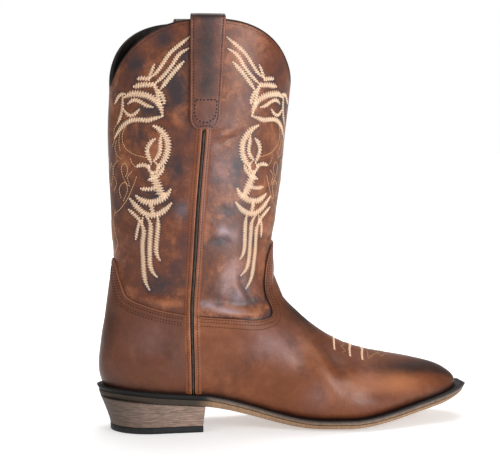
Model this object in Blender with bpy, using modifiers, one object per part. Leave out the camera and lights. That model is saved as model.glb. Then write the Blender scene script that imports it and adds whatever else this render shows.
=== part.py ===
"""Western boot for the right foot, standing on its heel and on the ball of its sole.

The toe points along +X, the outer side of the foot is at -Y and the floor is Z = 0. Sizes are in
millimetres, measured from a point under the back of the heel, and become metres in the meshes.
"""

import math

import bpy
import numpy as np

MM = 0.001
GAP = 0.3

# Thicknesses
WALL_T = 2.2
OVERLAY_T = 1.2
OUTSOLE_T = 5.0
WELT_T = 3.4
STRAP_T = 2.6
TOP_LIFT_T = 5.0
INSOLE_RISE = 2.0
FEATHER_RISE = OUTSOLE_T + WELT_T + 2 * GAP

# Underside of the outsole: heel seat, arch, flat ball and toe spring
SEAT_BACK_Z = 28.4
BREAST_X = 84.0
BREAST_Z = 20.8
ARCH_PULL = 1.6
BALL_BACK = 176.0
BALL_FRONT = 202.0
TIP_X = 308.0
TOE_SPRING = 19.2
TOE_CURL = 1.35
EDGE_CROWN = 2.2
FLAT_SHARE = 0.67

# Sections of the upper, each a tilted ring through a back point and a front point. "follow" is how
# far the ring bends with the sole, "seam_x" is where it crosses the side seam, "heel_round" and
# "nose_round" are the shares of its length that its rounded ends take, and the last six columns are
# half widths at the heel, waist, ball (outer and inner side) and toe, and the toe's inward swing.
# The first ring lies on the welt, so its two heights are worked out from the sole.
COLUMNS = ("back_x", "back_z", "front_x", "front_z", "follow", "seam_x", "heel_round", "nose_round",
           "heel", "waist", "ball_out", "ball_in", "toe", "swing")
SECTIONS = (
    (7.0, 0.0, 299.5, 0.0, 1.00, 74.0, 0.17, 0.13, 28.0, 28.0, 46.0, 44.0, 26.5, 4.0),
    (4.2, 47.0, 298.5, 32.4, 0.95, 73.5, 0.18, 0.15, 31.0, 31.0, 49.0, 47.0, 27.0, 4.0),
    (4.0, 57.0, 291.5, 38.4, 0.85, 73.2, 0.19, 0.20, 32.0, 32.5, 48.5, 46.5, 27.0, 4.0),
    (4.9, 66.0, 280.5, 43.6, 0.70, 73.0, 0.21, 0.29, 32.0, 33.0, 46.0, 44.5, 27.0, 4.0),
    (6.5, 78.0, 257.0, 49.6, 0.50, 72.7, 0.24, 0.40, 32.0, 33.5, 42.5, 42.0, 27.0, 4.0),
    (8.7, 90.0, 229.0, 55.0, 0.30, 72.4, 0.28, 0.47, 32.0, 33.5, 39.0, 39.5, 27.0, 3.5),
    (10.5, 103.0, 203.0, 63.4, 0.15, 72.3, 0.32, 0.50, 32.0, 33.5, 36.5, 37.0, 28.0, 2.5),
    (12.3, 116.0, 180.8, 76.3, 0.05, 72.4, 0.36, 0.50, 32.0, 33.5, 35.0, 35.5, 29.0, 1.2),
    (14.0, 127.0, 163.3, 91.0, 0.00, 72.9, 0.40, 0.50, 32.5, 33.5, 34.0, 34.0, 30.0, 0.5),
    (15.0, 136.5, 151.5, 104.0, 0.00, 73.6, 0.44, 0.50, 33.5, 34.0, 34.0, 34.0, 32.0, 0.0),
    (14.5, 147.0, 145.2, 122.0, 0.00, 74.3, 0.48, 0.50, 34.5, 34.8, 34.8, 34.8, 34.0, 0.0),
    (13.5, 160.0, 143.0, 146.0, 0.00, 75.2, 0.50, 0.50, 35.5, 35.8, 35.8, 35.8, 35.5, 0.0),
    (13.0, 178.0, 146.2, 170.0, 0.00, 76.3, 0.50, 0.50, 36.8, 37.0, 37.0, 37.0, 36.8, 0.0),
    (11.8, 203.0, 150.7, 200.0, 0.00, 78.2, 0.50, 0.50, 38.5, 38.5, 38.5, 38.5, 38.5, 0.0),
    (11.0, 238.0, 154.2, 237.0, 0.00, 80.8, 0.50, 0.50, 41.0, 41.0, 41.0, 41.0, 41.0, 0.0),
    (12.5, 272.0, 158.2, 272.0, 0.00, 82.3, 0.50, 0.50, 42.8, 42.8, 42.8, 42.8, 42.8, 0.0),
    (13.5, 300.0, 158.2, 300.0, 0.00, 83.0, 0.50, 0.50, 43.5, 43.5, 43.5, 43.5, 43.5, 0.0),
    (14.5, 334.0, 157.0, 334.0, 0.00, 84.3, 0.50, 0.50, 43.5, 43.5, 43.5, 43.5, 43.5, 0.0),
)
STATIONS = (0.0, 0.15, 0.42, 0.68, 0.92, 1.0)
SWING_FROM = 0.45
SWING_POWER = 1.5
TIP_SHARE = 0.97
OVAL_POWER = 2.0
TOE_POWER = 2.15
TOE_POWER_RINGS = 0.25
HALVINGS = 40

# Collar: high at the side seams, scalloped down at the front and back
COLLAR_SIDE_Z = 325.5
COLLAR_DIP = 51.5
COLLAR_POWER = 2.5
COLLAR_SHOULDER = 0.48
COLLAR_DIP_ROUND = 0.12
COLLAR_TWIST = 0.07

# Upper edge of the counter and vamp: angle from the back in degrees, height
SEAM_LINE = (
    (0, 138), (13, 134.5), (22, 126), (31, 117.5), (37, 111), (45, 107), (56, 103.5), (70, 99.3),
    (90, 94.5), (112, 91.3), (129, 89.5), (136, 92), (141, 99.5), (144.5, 112), (149, 127),
    (156, 139), (166, 147), (180, 150),
)

# Grid of the upper: steps from back to side seam and on to the front, rows of the foot and shaft
UPPER_STEPS = (10, 20)
TOE_CROWDING = 1.25
FOOT_ROWS = 10
SHAFT_ROWS = 8
OVERLAY_START = 0.02
SHARP_DEG = 40.0

# Side piping and the room for it between the vamp and the counter, in radians of the ring
PIPING_R = 1.0
PIPING_ROOM = 0.016
PIPING_POINTS = 18
PIPING_START = 0.008

# Pull straps folded over the collar
STRAP_TOP_W = 27.4
STRAP_LOW_W = 23.0
STRAP_LOW_Z = 241.0
STRAP_INNER_Z = 272.0
STRAP_END_ROUND = 9.0
STRAP_END_SHARE = 0.55
STRAP_GAP = 0.5
STRAP_COLUMNS = 6
STRAP_OUTER_ROWS = (0.0, 0.03, 0.08, 0.2, 0.4, 0.6, 0.8, 1.0)
STRAP_INNER_ROWS = (0.8, 0.6, 0.4, 0.2, 0.0)
STRAP_BEND_STEPS = 6

# Plan margins outside the upper's lower rim: angle share from back to front, width of the welt
WELT_MARGIN = ((0.0, 5.0), (0.3, 4.7), (0.5, 5.0), (0.8, 6.6), (1.0, 8.2))
WELT_INSET = 3.2
INSOLE_INSET = 3.6
SOLE_COLUMNS = 6
SOLE_STEPS = (14, 30)

# Heel: back and breast at the floor and under the outsole, with half widths
HEEL_BACK = (11.5, 3.5)
HEEL_BREAST = (82.0, 83.4)
HEEL_HALF_WIDTH = (29.5, 31.5)
HEEL_ROUND = (0.46, 0.42)
HEEL_HOLLOW = 1.25
HEEL_SIDE_STEPS = 14
HEEL_LEVELS = 4

# Finishes: colour, roughness
LEATHER = ((0.16, 0.055, 0.028), 0.45)
VAMP_LEATHER = ((0.20, 0.07, 0.032), 0.42)
DARK_LEATHER = ((0.03, 0.016, 0.012), 0.5)
SOLE_LEATHER = ((0.40, 0.27, 0.17), 0.55)
HEEL_LEATHER = ((0.27, 0.20, 0.15), 0.6)
INSOLE_LEATHER = ((0.02, 0.018, 0.016), 0.7)
RUBBER = ((0.012, 0.012, 0.013), 0.6)


def smooth(knots, values, at):
    """Cubic curve through values, which run over the knots and may differ from point to point."""
    at = np.asarray(at, float)
    knots = np.asarray(knots, float)
    values = np.asarray(values, float)
    values = values.reshape(values.shape + (1,) * (at.ndim + 1 - values.ndim))
    values = np.broadcast_to(values, (len(knots),) + at.shape)
    slopes = np.gradient(values, knots, axis=0)
    low = np.clip(np.searchsorted(knots, at, side="right") - 1, 0, len(knots) - 2)
    step = knots[low + 1] - knots[low]
    t = np.clip((at - knots[low]) / step, 0, 1)

    def pick(table, index):
        return np.take_along_axis(table, index[None], 0)[0]

    rise = t * t * (3 - 2 * t)
    value = pick(values, low) * (1 - rise) + pick(values, low + 1) * rise
    return value + step * t * (1 - t) * ((1 - t) * pick(slopes, low) - t * pick(slopes, low + 1))


def tread_z(x):
    """Height of the outsole's underside along its middle line."""
    x = np.asarray(x, float)
    slope = (BREAST_Z - SEAT_BACK_Z) / BREAST_X
    seat = SEAT_BACK_Z + slope * x
    span = BALL_BACK - BREAST_X
    t = np.clip((x - BREAST_X) / span, 0, 1)
    arch = (1 - t) ** 2 * ((1 + 2 * t) * BREAST_Z + t * slope * span * ARCH_PULL)
    toe = TOE_SPRING * (np.clip(x - BALL_FRONT, 0, None) / (TIP_X - BALL_FRONT)) ** TOE_CURL
    return np.where(x < BREAST_X, seat, np.where(x < BALL_BACK, arch, toe))


def section_table():
    """The sections as an array, with the first ring laid on the welt."""
    table = np.array(SECTIONS)
    for end in ("back", "front"):
        height = tread_z(table[0, COLUMNS.index(end + "_x")]) + FEATHER_RISE
        table[0, COLUMNS.index(end + "_z")] = height
    return table


SECTION_TABLE = section_table()


def ring_at(h):
    """The section columns at ring h, from 0 at the welt to 1 at the top."""
    rings = np.linspace(0, 1, len(SECTION_TABLE))
    return {name: smooth(rings, SECTION_TABLE[:, i], h) for i, name in enumerate(COLUMNS)}


def round_end(share, reach, power):
    """Half width of a rounded end, from 0 at its tip to 1 at its reach."""
    q = np.clip(share / reach, 0, 1)
    return np.clip(1 - (1 - q) ** power, 0, None) ** (1 / power)


def upper_point(u, h):
    """Outer face of the upper: u is 0 at the back, pi/2 at the outer side seam, pi at the front."""
    u, h = np.broadcast_arrays(np.asarray(u, float), np.asarray(h, float))
    ring = ring_at(h)
    length = ring["front_x"] - ring["back_x"]
    seam = (ring["seam_x"] - ring["back_x"]) / length
    turn = (1 - np.cos(u)) / 2
    t = seam * turn / (seam * turn + (1 - seam) * (1 - turn))
    x = ring["back_x"] + length * t
    chord = ring["back_z"] + (ring["front_z"] - ring["back_z"]) * t
    tread_back = tread_z(ring["back_x"])
    tread_chord = tread_back + (tread_z(ring["front_x"]) - tread_back) * t
    z = chord + ring["follow"] * (tread_z(x) - tread_chord)
    outer = np.sin(u) >= 0
    ball = np.where(outer, ring["ball_out"], ring["ball_in"])
    tip = ring["toe"] * TIP_SHARE
    widths = np.stack([ring["heel"], ring["heel"], ring["waist"], ball, ring["toe"], tip])
    toe_power = OVAL_POWER + (TOE_POWER - OVAL_POWER) * np.clip(1 - h / TOE_POWER_RINGS, 0, 1)
    half = smooth(STATIONS, widths, t) * round_end(t, ring["heel_round"], OVAL_POWER)
    half = half * round_end(1 - t, ring["nose_round"], toe_power)
    middle = ring["swing"] * np.clip((t - SWING_FROM) / (1 - SWING_FROM), 0, 1) ** SWING_POWER
    return np.stack([x, np.where(outer, middle - half, middle + half), z], -1)


def upper_normal(u, h):
    """Unit normal of the upper, pointing out."""
    step = 1e-4
    inside = np.clip(h, 2 * step, 1 - 2 * step)
    along = upper_point(u + step, h) - upper_point(u - step, h)
    up = upper_point(u, inside + step) - upper_point(u, inside - step)
    normal = np.cross(along, up)
    return normal / np.linalg.norm(normal, axis=-1, keepdims=True)


def ring_through(u, z):
    """The ring that passes height z at angle u."""
    u, z = np.broadcast_arrays(np.asarray(u, float), np.asarray(z, float))
    low = np.zeros(u.shape)
    high = np.ones(u.shape)
    for _ in range(HALVINGS):
        middle = (low + high) / 2
        below = upper_point(u, middle)[..., 2] < z
        low = np.where(below, middle, low)
        high = np.where(below, high, middle)
    return (low + high) / 2


def angle_at(x, h, side):
    """The angle where ring h passes x, on the outer side (1) or the inner side (-1)."""
    ring = ring_at(h)
    length = ring["front_x"] - ring["back_x"]
    seam = (ring["seam_x"] - ring["back_x"]) / length
    t = (x - ring["back_x"]) / length
    turn = t * (1 - seam) / (t * (1 - seam) + (1 - t) * seam)
    return side * np.arccos(1 - 2 * turn)


def collar_z(u):
    u = u - COLLAR_TWIST * (1 + np.cos(u)) / 2
    climb = (1 - np.abs(np.cos(u)) ** COLLAR_POWER) ** COLLAR_SHOULDER
    climb = np.hypot(climb, COLLAR_DIP_ROUND) - COLLAR_DIP_ROUND
    full = math.hypot(1, COLLAR_DIP_ROUND) - COLLAR_DIP_ROUND
    return COLLAR_SIDE_Z - COLLAR_DIP * (1 - climb / full)


def seam_z(u):
    angles, heights = zip(*SEAM_LINE)
    return smooth(angles, heights, np.degrees(np.arccos(np.cos(u))))


def half_turn(steps):
    """Angles from the back through the side seam to the front, crowded towards the toe."""
    back = np.linspace(0, math.pi / 2, steps[0] + 1)
    front = math.pi - math.pi / 2 * np.linspace(1, 0, steps[1] + 1) ** TOE_CROWDING
    return np.concatenate([back, front[1:]])


def full_turn(steps):
    half = half_turn(steps)
    return np.concatenate([half, 2 * math.pi - half[-2:0:-1]])


def foot_rings(u, start=0.0):
    """Rings of the foot at angles u, from the welt up to the edge of the vamp and counter."""
    shares = np.linspace(0, 1, FOOT_ROWS + 1)
    shares[0] = start
    return shares[:, None] * ring_through(u, seam_z(u))


def sole_ring(margin):
    """Plan ring outside the upper's lower rim by a margin that may vary from back to front."""
    u = full_turn(SOLE_STEPS)
    rim = upper_point(u, 0 * u)
    out = upper_normal(u, 0 * u)[:, :2]
    out = out / np.linalg.norm(out, axis=1, keepdims=True)
    share = (1 - np.cos(u)) / 2
    widths = np.interp(share, *zip(*margin)) if isinstance(margin, tuple) else np.full(len(u), margin)
    return rim[:, :2] + out * widths[:, None]


def frame_origin():
    """Point on the floor under the middle of the welt's box."""
    ring = sole_ring(WELT_MARGIN)
    middle = (ring.min(axis=0) + ring.max(axis=0)) / 2
    return np.array([middle[0], middle[1], 0.0])


def material(name, finish):
    colour, roughness = finish
    made = bpy.data.materials.new(name)
    made.use_nodes = True
    shader = made.node_tree.nodes["Principled BSDF"]
    shader.inputs["Base Color"].default_value = (*colour, 1.0)
    shader.inputs["Roughness"].default_value = roughness
    return made


def add_object(name, data, finish):
    made = bpy.data.objects.new(name, data)
    data.materials.append(material(name, finish))
    parts.objects.link(made)
    return made


def mesh_object(name, points, faces, finish):
    mesh = bpy.data.meshes.new(name)
    mesh.from_pydata(((np.asarray(points) - origin) * MM).tolist(), [], faces)
    mesh.shade_smooth()
    mesh.set_sharp_from_angle(angle=math.radians(SHARP_DEG))
    return add_object(name, mesh, finish)


def grid_faces(rows, columns, closed, looped=False):
    """Faces of a grid: closed joins its last column to the first, looped its last row to the first."""
    faces = []
    for row in range(rows if looped else rows - 1):
        low = row * columns
        high = (row + 1) % rows * columns
        for column in range(columns if closed else columns - 1):
            beside = (column + 1) % columns
            faces.append((low + column, low + beside, high + beside, high + column))
    return faces


def shell(name, grid, closed, thickness, outward, finish):
    """A leather sheet through a grid of points, thickened outwards or inwards."""
    rows, columns = grid.shape[:2]
    made = mesh_object(name, grid.reshape(-1, 3), grid_faces(rows, columns, closed), finish)
    solid = made.modifiers.new("Thickness", "SOLIDIFY")
    solid.thickness = thickness * MM
    solid.offset = 1 if outward else -1
    solid.use_even_offset = True
    return made


def loft(name, rings, finish):
    """A closed solid through rings of points, one above the other, with flat ends."""
    columns = len(rings[0])
    faces = grid_faces(len(rings), columns, True)
    faces.append(tuple(reversed(range(columns))))
    faces.append(tuple(range((len(rings) - 1) * columns, len(rings) * columns)))
    return mesh_object(name, np.concatenate(rings), faces, finish)


def slab(name, ring, low_z, high_z, finish):
    """A plate inside a plan ring, with cross rows from its outer to its inner side."""
    half = len(ring) // 2
    across = np.linspace(0, 1, SOLE_COLUMNS + 1)[:, None]
    tips = [ring[0], ring[half]]
    rows = [ring[k] + (ring[-k] - ring[k]) * across for k in range(1, half)]
    plan = np.concatenate([np.array(tips)] + rows)
    edge = np.concatenate([np.ones(2)] + [np.abs(across[:, 0] * 2 - 1)] * (half - 1))
    count = len(plan)
    low = np.column_stack([plan, low_z(plan[:, 0], edge)])
    high = np.column_stack([plan, high_z(plan[:, 0], edge)])
    wide = SOLE_COLUMNS + 1
    first = [2 + c for c in range(wide)]
    last = [2 + (half - 2) * wide + c for c in range(wide)]
    top = [(0, first[c], first[c + 1]) for c in range(SOLE_COLUMNS)]
    top += [(1, last[c + 1], last[c]) for c in range(SOLE_COLUMNS)]
    top += [(2 + a, 2 + d, 2 + c, 2 + b) for a, b, c, d in grid_faces(half - 1, wide, False)]
    rim = [0] + [2 + k * wide for k in range(half - 1)] + [1]
    rim += [2 + k * wide + SOLE_COLUMNS for k in reversed(range(half - 1))]
    faces = [tuple(count + i for i in face) for face in top]
    faces += [tuple(reversed(face)) for face in top]
    for here, beside in zip(rim, rim[1:] + rim[:1]):
        faces.append((here, beside, count + beside, count + here))
    return mesh_object(name, np.concatenate([low, high]), faces, finish)


def build_upper():
    u = full_turn(UPPER_STEPS)
    foot = foot_rings(u)
    shares = np.linspace(0, 1, SHAFT_ROWS + 1)[1:, None]
    shaft = foot[-1] + shares * (ring_through(u, collar_z(u)) - foot[-1])
    rings = np.concatenate([foot, shaft])
    shell("upper", upper_point(u[None], rings), True, WALL_T, False, LEATHER)


def build_overlay(name, u, finish):
    """Leather over the foot, standing just off the upper's own face."""
    rings = foot_rings(u, OVERLAY_START)
    turns = u + 0 * rings
    grid = upper_point(turns, rings) + GAP * upper_normal(turns, rings)
    shell(name, grid, False, OVERLAY_T, True, finish)


def build_vamp_and_counter():
    half = half_turn(UPPER_STEPS)
    front = half[half > math.pi / 2 + PIPING_ROOM]
    back = half[half < math.pi / 2 - PIPING_ROOM]
    edge = math.pi / 2 + PIPING_ROOM
    vamp = np.concatenate([[edge], front, 2 * math.pi - front[-2::-1], [2 * math.pi - edge]])
    edge = math.pi / 2 - PIPING_ROOM
    counter = np.concatenate([[-edge], -back[:0:-1], back, [edge]])
    build_overlay("vamp", vamp, VAMP_LEATHER)
    build_overlay("heel_counter", counter, LEATHER)


def build_piping(name, side):
    """Cord in a side seam, from the welt up to the end of the pull strap."""
    top = ring_through(math.pi / 2, STRAP_LOW_Z - PIPING_R - GAP)
    rings = np.linspace(PIPING_START, float(top), PIPING_POINTS)
    u = np.full(PIPING_POINTS, side * math.pi / 2)
    route = upper_point(u, rings) + (GAP + PIPING_R) * upper_normal(u, rings)
    curve = bpy.data.curves.new(name, "CURVE")
    curve.dimensions = "3D"
    curve.bevel_depth = PIPING_R * MM
    curve.bevel_resolution = 2
    curve.use_fill_caps = True
    spline = curve.splines.new("POLY")
    spline.points.add(PIPING_POINTS - 1)
    for point, place in zip(spline.points, (route - origin) * MM):
        point.co = (*place, 1.0)
    add_object(name, curve, DARK_LEATHER)


def strap_path():
    """Offsets from the upper's outer face and heights along a strap, with its width at each."""
    bend = WALL_T / 2 + STRAP_GAP
    rows = []
    for share in STRAP_OUTER_ROWS:
        rows.append((STRAP_GAP, STRAP_LOW_Z + share * (COLLAR_SIDE_Z - STRAP_LOW_Z)))
    for step in range(1, STRAP_BEND_STEPS):
        turn = math.pi * step / STRAP_BEND_STEPS
        rows.append((bend * math.cos(turn) - WALL_T / 2, COLLAR_SIDE_Z + bend * math.sin(turn)))
    rows.append((-WALL_T - STRAP_GAP, COLLAR_SIDE_Z))
    for share in STRAP_INNER_ROWS:
        rows.append((-WALL_T - STRAP_GAP, STRAP_INNER_Z + share * (COLLAR_SIDE_Z - STRAP_INNER_Z)))
    return rows


def build_strap(name, side):
    across = np.linspace(-0.5, 0.5, STRAP_COLUMNS + 1) * side
    grid = []
    for index, (offset, z) in enumerate(strap_path()):
        share = np.clip((z - STRAP_LOW_Z) / (COLLAR_SIDE_Z - STRAP_LOW_Z), 0, 1)
        width = STRAP_LOW_W + (STRAP_TOP_W - STRAP_LOW_W) * share
        if index < len(STRAP_OUTER_ROWS):
            end = (z - STRAP_LOW_Z) / STRAP_END_ROUND
            width *= STRAP_END_SHARE + (1 - STRAP_END_SHARE) * round_end(end, 1.0, OVAL_POWER)
        h = ring_through(side * math.pi / 2, z)
        u = angle_at(ring_at(h)["seam_x"] + across * width, h, side)
        h = ring_through(u, np.full(len(u), z))
        grid.append(upper_point(u, h) + offset * upper_normal(u, h))
    shell(name, np.array(grid), False, STRAP_T, True, DARK_LEATHER)


def build_sole():
    def underside(x, edge):
        crown = EDGE_CROWN * np.clip((edge - FLAT_SHARE) / (1 - FLAT_SHARE), 0, 1) ** 2
        return tread_z(x) + crown * np.clip((x - BREAST_X) / (BALL_BACK - BREAST_X), 0, 1)

    def bed(x, edge):
        return tread_z(x) + OUTSOLE_T

    def foot_bed(x, edge):
        return tread_z(x) + FEATHER_RISE + INSOLE_RISE

    outer = sole_ring(WELT_MARGIN)
    slab("outsole", outer, underside, bed, SOLE_LEATHER)
    inner = sole_ring(-INSOLE_INSET)
    slab("insole", inner, lambda x, edge: bed(x, edge) + GAP, foot_bed, INSOLE_LEATHER)
    hole = sole_ring(-WELT_INSET)
    corners = []
    for ring, rise in ((outer, GAP), (outer, GAP + WELT_T), (hole, GAP + WELT_T), (hole, GAP)):
        corners.append(np.column_stack([ring, bed(ring[:, 0], None) + rise]))
    faces = grid_faces(len(corners), len(outer), True, looped=True)
    mesh_object("welt", np.concatenate(corners), faces, DARK_LEATHER)


def heel_ring(share):
    """Plan ring of the heel, at a share of its height from the floor to the outsole."""
    def between(pair):
        return pair[0] + (pair[1] - pair[0]) * share ** HEEL_HOLLOW

    length = between(HEEL_BREAST) - between(HEEL_BACK)
    turn = np.linspace(0, math.pi / 2, HEEL_SIDE_STEPS + 1)
    along = 1 - np.cos(turn)
    x = between(HEEL_BACK) + length * along
    y = between(HEEL_HALF_WIDTH) * round_end(along, between(HEEL_ROUND), OVAL_POWER)
    return np.concatenate([np.column_stack([x, -y]), np.column_stack([x, y])[:0:-1]])


def build_heel():
    floor = heel_ring(0.0)
    lift = [np.column_stack([floor, np.full(len(floor), z)]) for z in (0.0, TOP_LIFT_T)]
    loft("heel_top_lift", lift, RUBBER)
    rings = []
    for share in np.linspace(0, 1, HEEL_LEVELS + 1):
        ring = heel_ring(share)
        foot = TOP_LIFT_T + GAP
        z = foot + share * (tread_z(ring[:, 0]) - GAP - foot)
        rings.append(np.column_stack([ring, z]))
    loft("heel_stack", rings, HEEL_LEATHER)


for old in list(bpy.data.objects):
    bpy.data.objects.remove(old, do_unlink=True)
parts = bpy.data.collections.new("western_boot")
bpy.context.scene.collection.children.link(parts)
origin = frame_origin()

build_upper()
build_vamp_and_counter()
build_piping("side_piping_outer", 1)
build_piping("side_piping_inner", -1)
build_strap("pull_strap_outer", 1)
build_strap("pull_strap_inner", -1)
build_sole()
build_heel()
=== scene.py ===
"""Looks of the western boot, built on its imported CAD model.

Sizes are in millimetres from a point under the back of the heel, as in the part's source. Places on
the upper are an angle in degrees, from 0 at the back through the outer side seam at 90 to the front
at 180, and a height.
"""

import math

import bmesh
import bpy
import numpy as np
from mathutils.kdtree import KDTree
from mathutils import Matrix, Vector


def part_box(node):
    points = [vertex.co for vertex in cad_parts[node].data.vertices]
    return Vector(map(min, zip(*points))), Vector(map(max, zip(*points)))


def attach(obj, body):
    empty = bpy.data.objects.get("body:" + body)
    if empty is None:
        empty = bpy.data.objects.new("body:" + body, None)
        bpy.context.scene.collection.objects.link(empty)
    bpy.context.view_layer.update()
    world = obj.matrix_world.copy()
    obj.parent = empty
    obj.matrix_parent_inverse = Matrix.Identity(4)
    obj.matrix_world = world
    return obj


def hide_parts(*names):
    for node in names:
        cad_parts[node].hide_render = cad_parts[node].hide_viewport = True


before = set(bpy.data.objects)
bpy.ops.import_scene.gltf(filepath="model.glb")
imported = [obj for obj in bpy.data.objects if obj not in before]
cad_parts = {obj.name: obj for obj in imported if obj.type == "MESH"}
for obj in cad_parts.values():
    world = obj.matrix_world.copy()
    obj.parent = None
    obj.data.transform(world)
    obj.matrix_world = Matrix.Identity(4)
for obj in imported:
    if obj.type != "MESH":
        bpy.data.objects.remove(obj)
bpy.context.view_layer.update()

# One millimetre in metres, the gap between solids, and the angle of the outer side seam
MM = 0.001
GAP = 0.3
SEAM = math.pi / 2

# Thicknesses
WALL_T = 2.2
LEATHER_T = 1.4
OVERLAY_T = 1.2
OUTSOLE_T = 5.0
WELT_T = 3.4
STRAP_T = 2.6
TOP_LIFT_T = 5.0
FEATHER_RISE = OUTSOLE_T + WELT_T + 2 * GAP

# Underside of the outsole
SEAT_BACK_Z = 28.4
BREAST_X = 84.0
BREAST_Z = 20.8
ARCH_PULL = 1.6
BALL_BACK = 176.0
BALL_FRONT = 202.0
TIP_X = 308.0
TOE_SPRING = 19.2
TOE_CURL = 1.35
EDGE_CROWN = 2.2
FLAT_SHARE = 0.67

# Sections of the upper, as in the part's source
COLUMNS = ("back_x", "back_z", "front_x", "front_z", "follow", "seam_x", "heel_round", "nose_round",
           "heel", "waist", "ball_out", "ball_in", "toe", "swing")
SECTIONS = (
    (7.0, 0.0, 299.5, 0.0, 1.00, 74.0, 0.17, 0.13, 28.0, 28.0, 46.0, 44.0, 26.5, 4.0),
    (4.2, 47.0, 298.5, 32.4, 0.95, 73.5, 0.18, 0.15, 31.0, 31.0, 49.0, 47.0, 27.0, 4.0),
    (4.0, 57.0, 291.5, 38.4, 0.85, 73.2, 0.19, 0.20, 32.0, 32.5, 48.5, 46.5, 27.0, 4.0),
    (4.9, 66.0, 280.5, 43.6, 0.70, 73.0, 0.21, 0.29, 32.0, 33.0, 46.0, 44.5, 27.0, 4.0),
    (6.5, 78.0, 257.0, 49.6, 0.50, 72.7, 0.24, 0.40, 32.0, 33.5, 42.5, 42.0, 27.0, 4.0),
    (8.7, 90.0, 229.0, 55.0, 0.30, 72.4, 0.28, 0.47, 32.0, 33.5, 39.0, 39.5, 27.0, 3.5),
    (10.5, 103.0, 203.0, 63.4, 0.15, 72.3, 0.32, 0.50, 32.0, 33.5, 36.5, 37.0, 28.0, 2.5),
    (12.3, 116.0, 180.8, 76.3, 0.05, 72.4, 0.36, 0.50, 32.0, 33.5, 35.0, 35.5, 29.0, 1.2),
    (14.0, 127.0, 163.3, 91.0, 0.00, 72.9, 0.40, 0.50, 32.5, 33.5, 34.0, 34.0, 30.0, 0.5),
    (15.0, 136.5, 151.5, 104.0, 0.00, 73.6, 0.44, 0.50, 33.5, 34.0, 34.0, 34.0, 32.0, 0.0),
    (14.5, 147.0, 145.2, 122.0, 0.00, 74.3, 0.48, 0.50, 34.5, 34.8, 34.8, 34.8, 34.0, 0.0),
    (13.5, 160.0, 143.0, 146.0, 0.00, 75.2, 0.50, 0.50, 35.5, 35.8, 35.8, 35.8, 35.5, 0.0),
    (13.0, 178.0, 146.2, 170.0, 0.00, 76.3, 0.50, 0.50, 36.8, 37.0, 37.0, 37.0, 36.8, 0.0),
    (11.8, 203.0, 150.7, 200.0, 0.00, 78.2, 0.50, 0.50, 38.5, 38.5, 38.5, 38.5, 38.5, 0.0),
    (11.0, 238.0, 154.2, 237.0, 0.00, 80.8, 0.50, 0.50, 41.0, 41.0, 41.0, 41.0, 41.0, 0.0),
    (12.5, 272.0, 158.2, 272.0, 0.00, 82.3, 0.50, 0.50, 42.8, 42.8, 42.8, 42.8, 42.8, 0.0),
    (13.5, 300.0, 158.2, 300.0, 0.00, 83.0, 0.50, 0.50, 43.5, 43.5, 43.5, 43.5, 43.5, 0.0),
    (14.5, 334.0, 157.0, 334.0, 0.00, 84.3, 0.50, 0.50, 43.5, 43.5, 43.5, 43.5, 43.5, 0.0),
)
STATIONS = (0.0, 0.15, 0.42, 0.68, 0.92, 1.0)
SWING_FROM = 0.45
SWING_POWER = 1.5
TIP_SHARE = 0.97
OVAL_POWER = 2.0
TOE_POWER = 2.15
TOE_POWER_RINGS = 0.25
HALVINGS = 32

# Collar
COLLAR_SIDE_Z = 325.5
COLLAR_DIP = 51.5
COLLAR_POWER = 2.5
COLLAR_SHOULDER = 0.48
COLLAR_DIP_ROUND = 0.12
COLLAR_TWIST = 0.07

# Upper edge of the counter and vamp: angle, height
SEAM_LINE = (
    (0, 138), (13, 134.5), (22, 126), (31, 117.5), (37, 111), (45, 107), (56, 103.5), (70, 99.3),
    (90, 94.5), (112, 91.3), (129, 89.5), (136, 92), (141, 99.5), (144.5, 112), (149, 127),
    (156, 139), (166, 147), (180, 150),
)

# Fine grids: steps from back to side seam and on to the front
TURN_STEPS = (84, 104)
TOE_CROWDING = 1.25
SHAFT_ROWS = 190
FOOT_ROWS = 96
INSIDE_ROWS = 8
LINING_ROWS = 60

# Side piping
PIPING_R = 1.0
PIPING_ROOM = 0.016
PIPING_POINTS = 120
PIPING_START = 0.004
PIPING_SIDES = 12

# Pull straps
STRAP_TOP_W = 27.4
STRAP_LOW_W = 23.0
STRAP_LOW_Z = 241.0
STRAP_INNER_Z = 272.0
STRAP_END_ROUND = 10.0
STRAP_END_SHARE = 0.46
STRAP_GAP = 0.5
STRAP_ROW = 2.3
STRAP_BOX = ((-8.2, 263.5), (-8.2, 254), (-6, 248.5), (0, 246), (6, 248.5), (8.2, 254), (8.2, 263.5))

# Folded edges beside the side piping: near and far edge, thickness on the shaft and over the foot
BAND_EDGES = (1.5, 6.4)
BAND_T = (1.5, 0.75)
BAND_PROFILE = ((0.0, -0.15), (0.0, 0.6), (0.05, 0.88), (0.14, 1.0), (0.3, 0.96), (0.46, 0.74), (0.54, 0.68),
                (0.64, 0.7), (0.8, 0.45), (0.92, 0.2), (1.0, 0.02), (1.0, -0.15))
BAND_ROWS = 260

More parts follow.
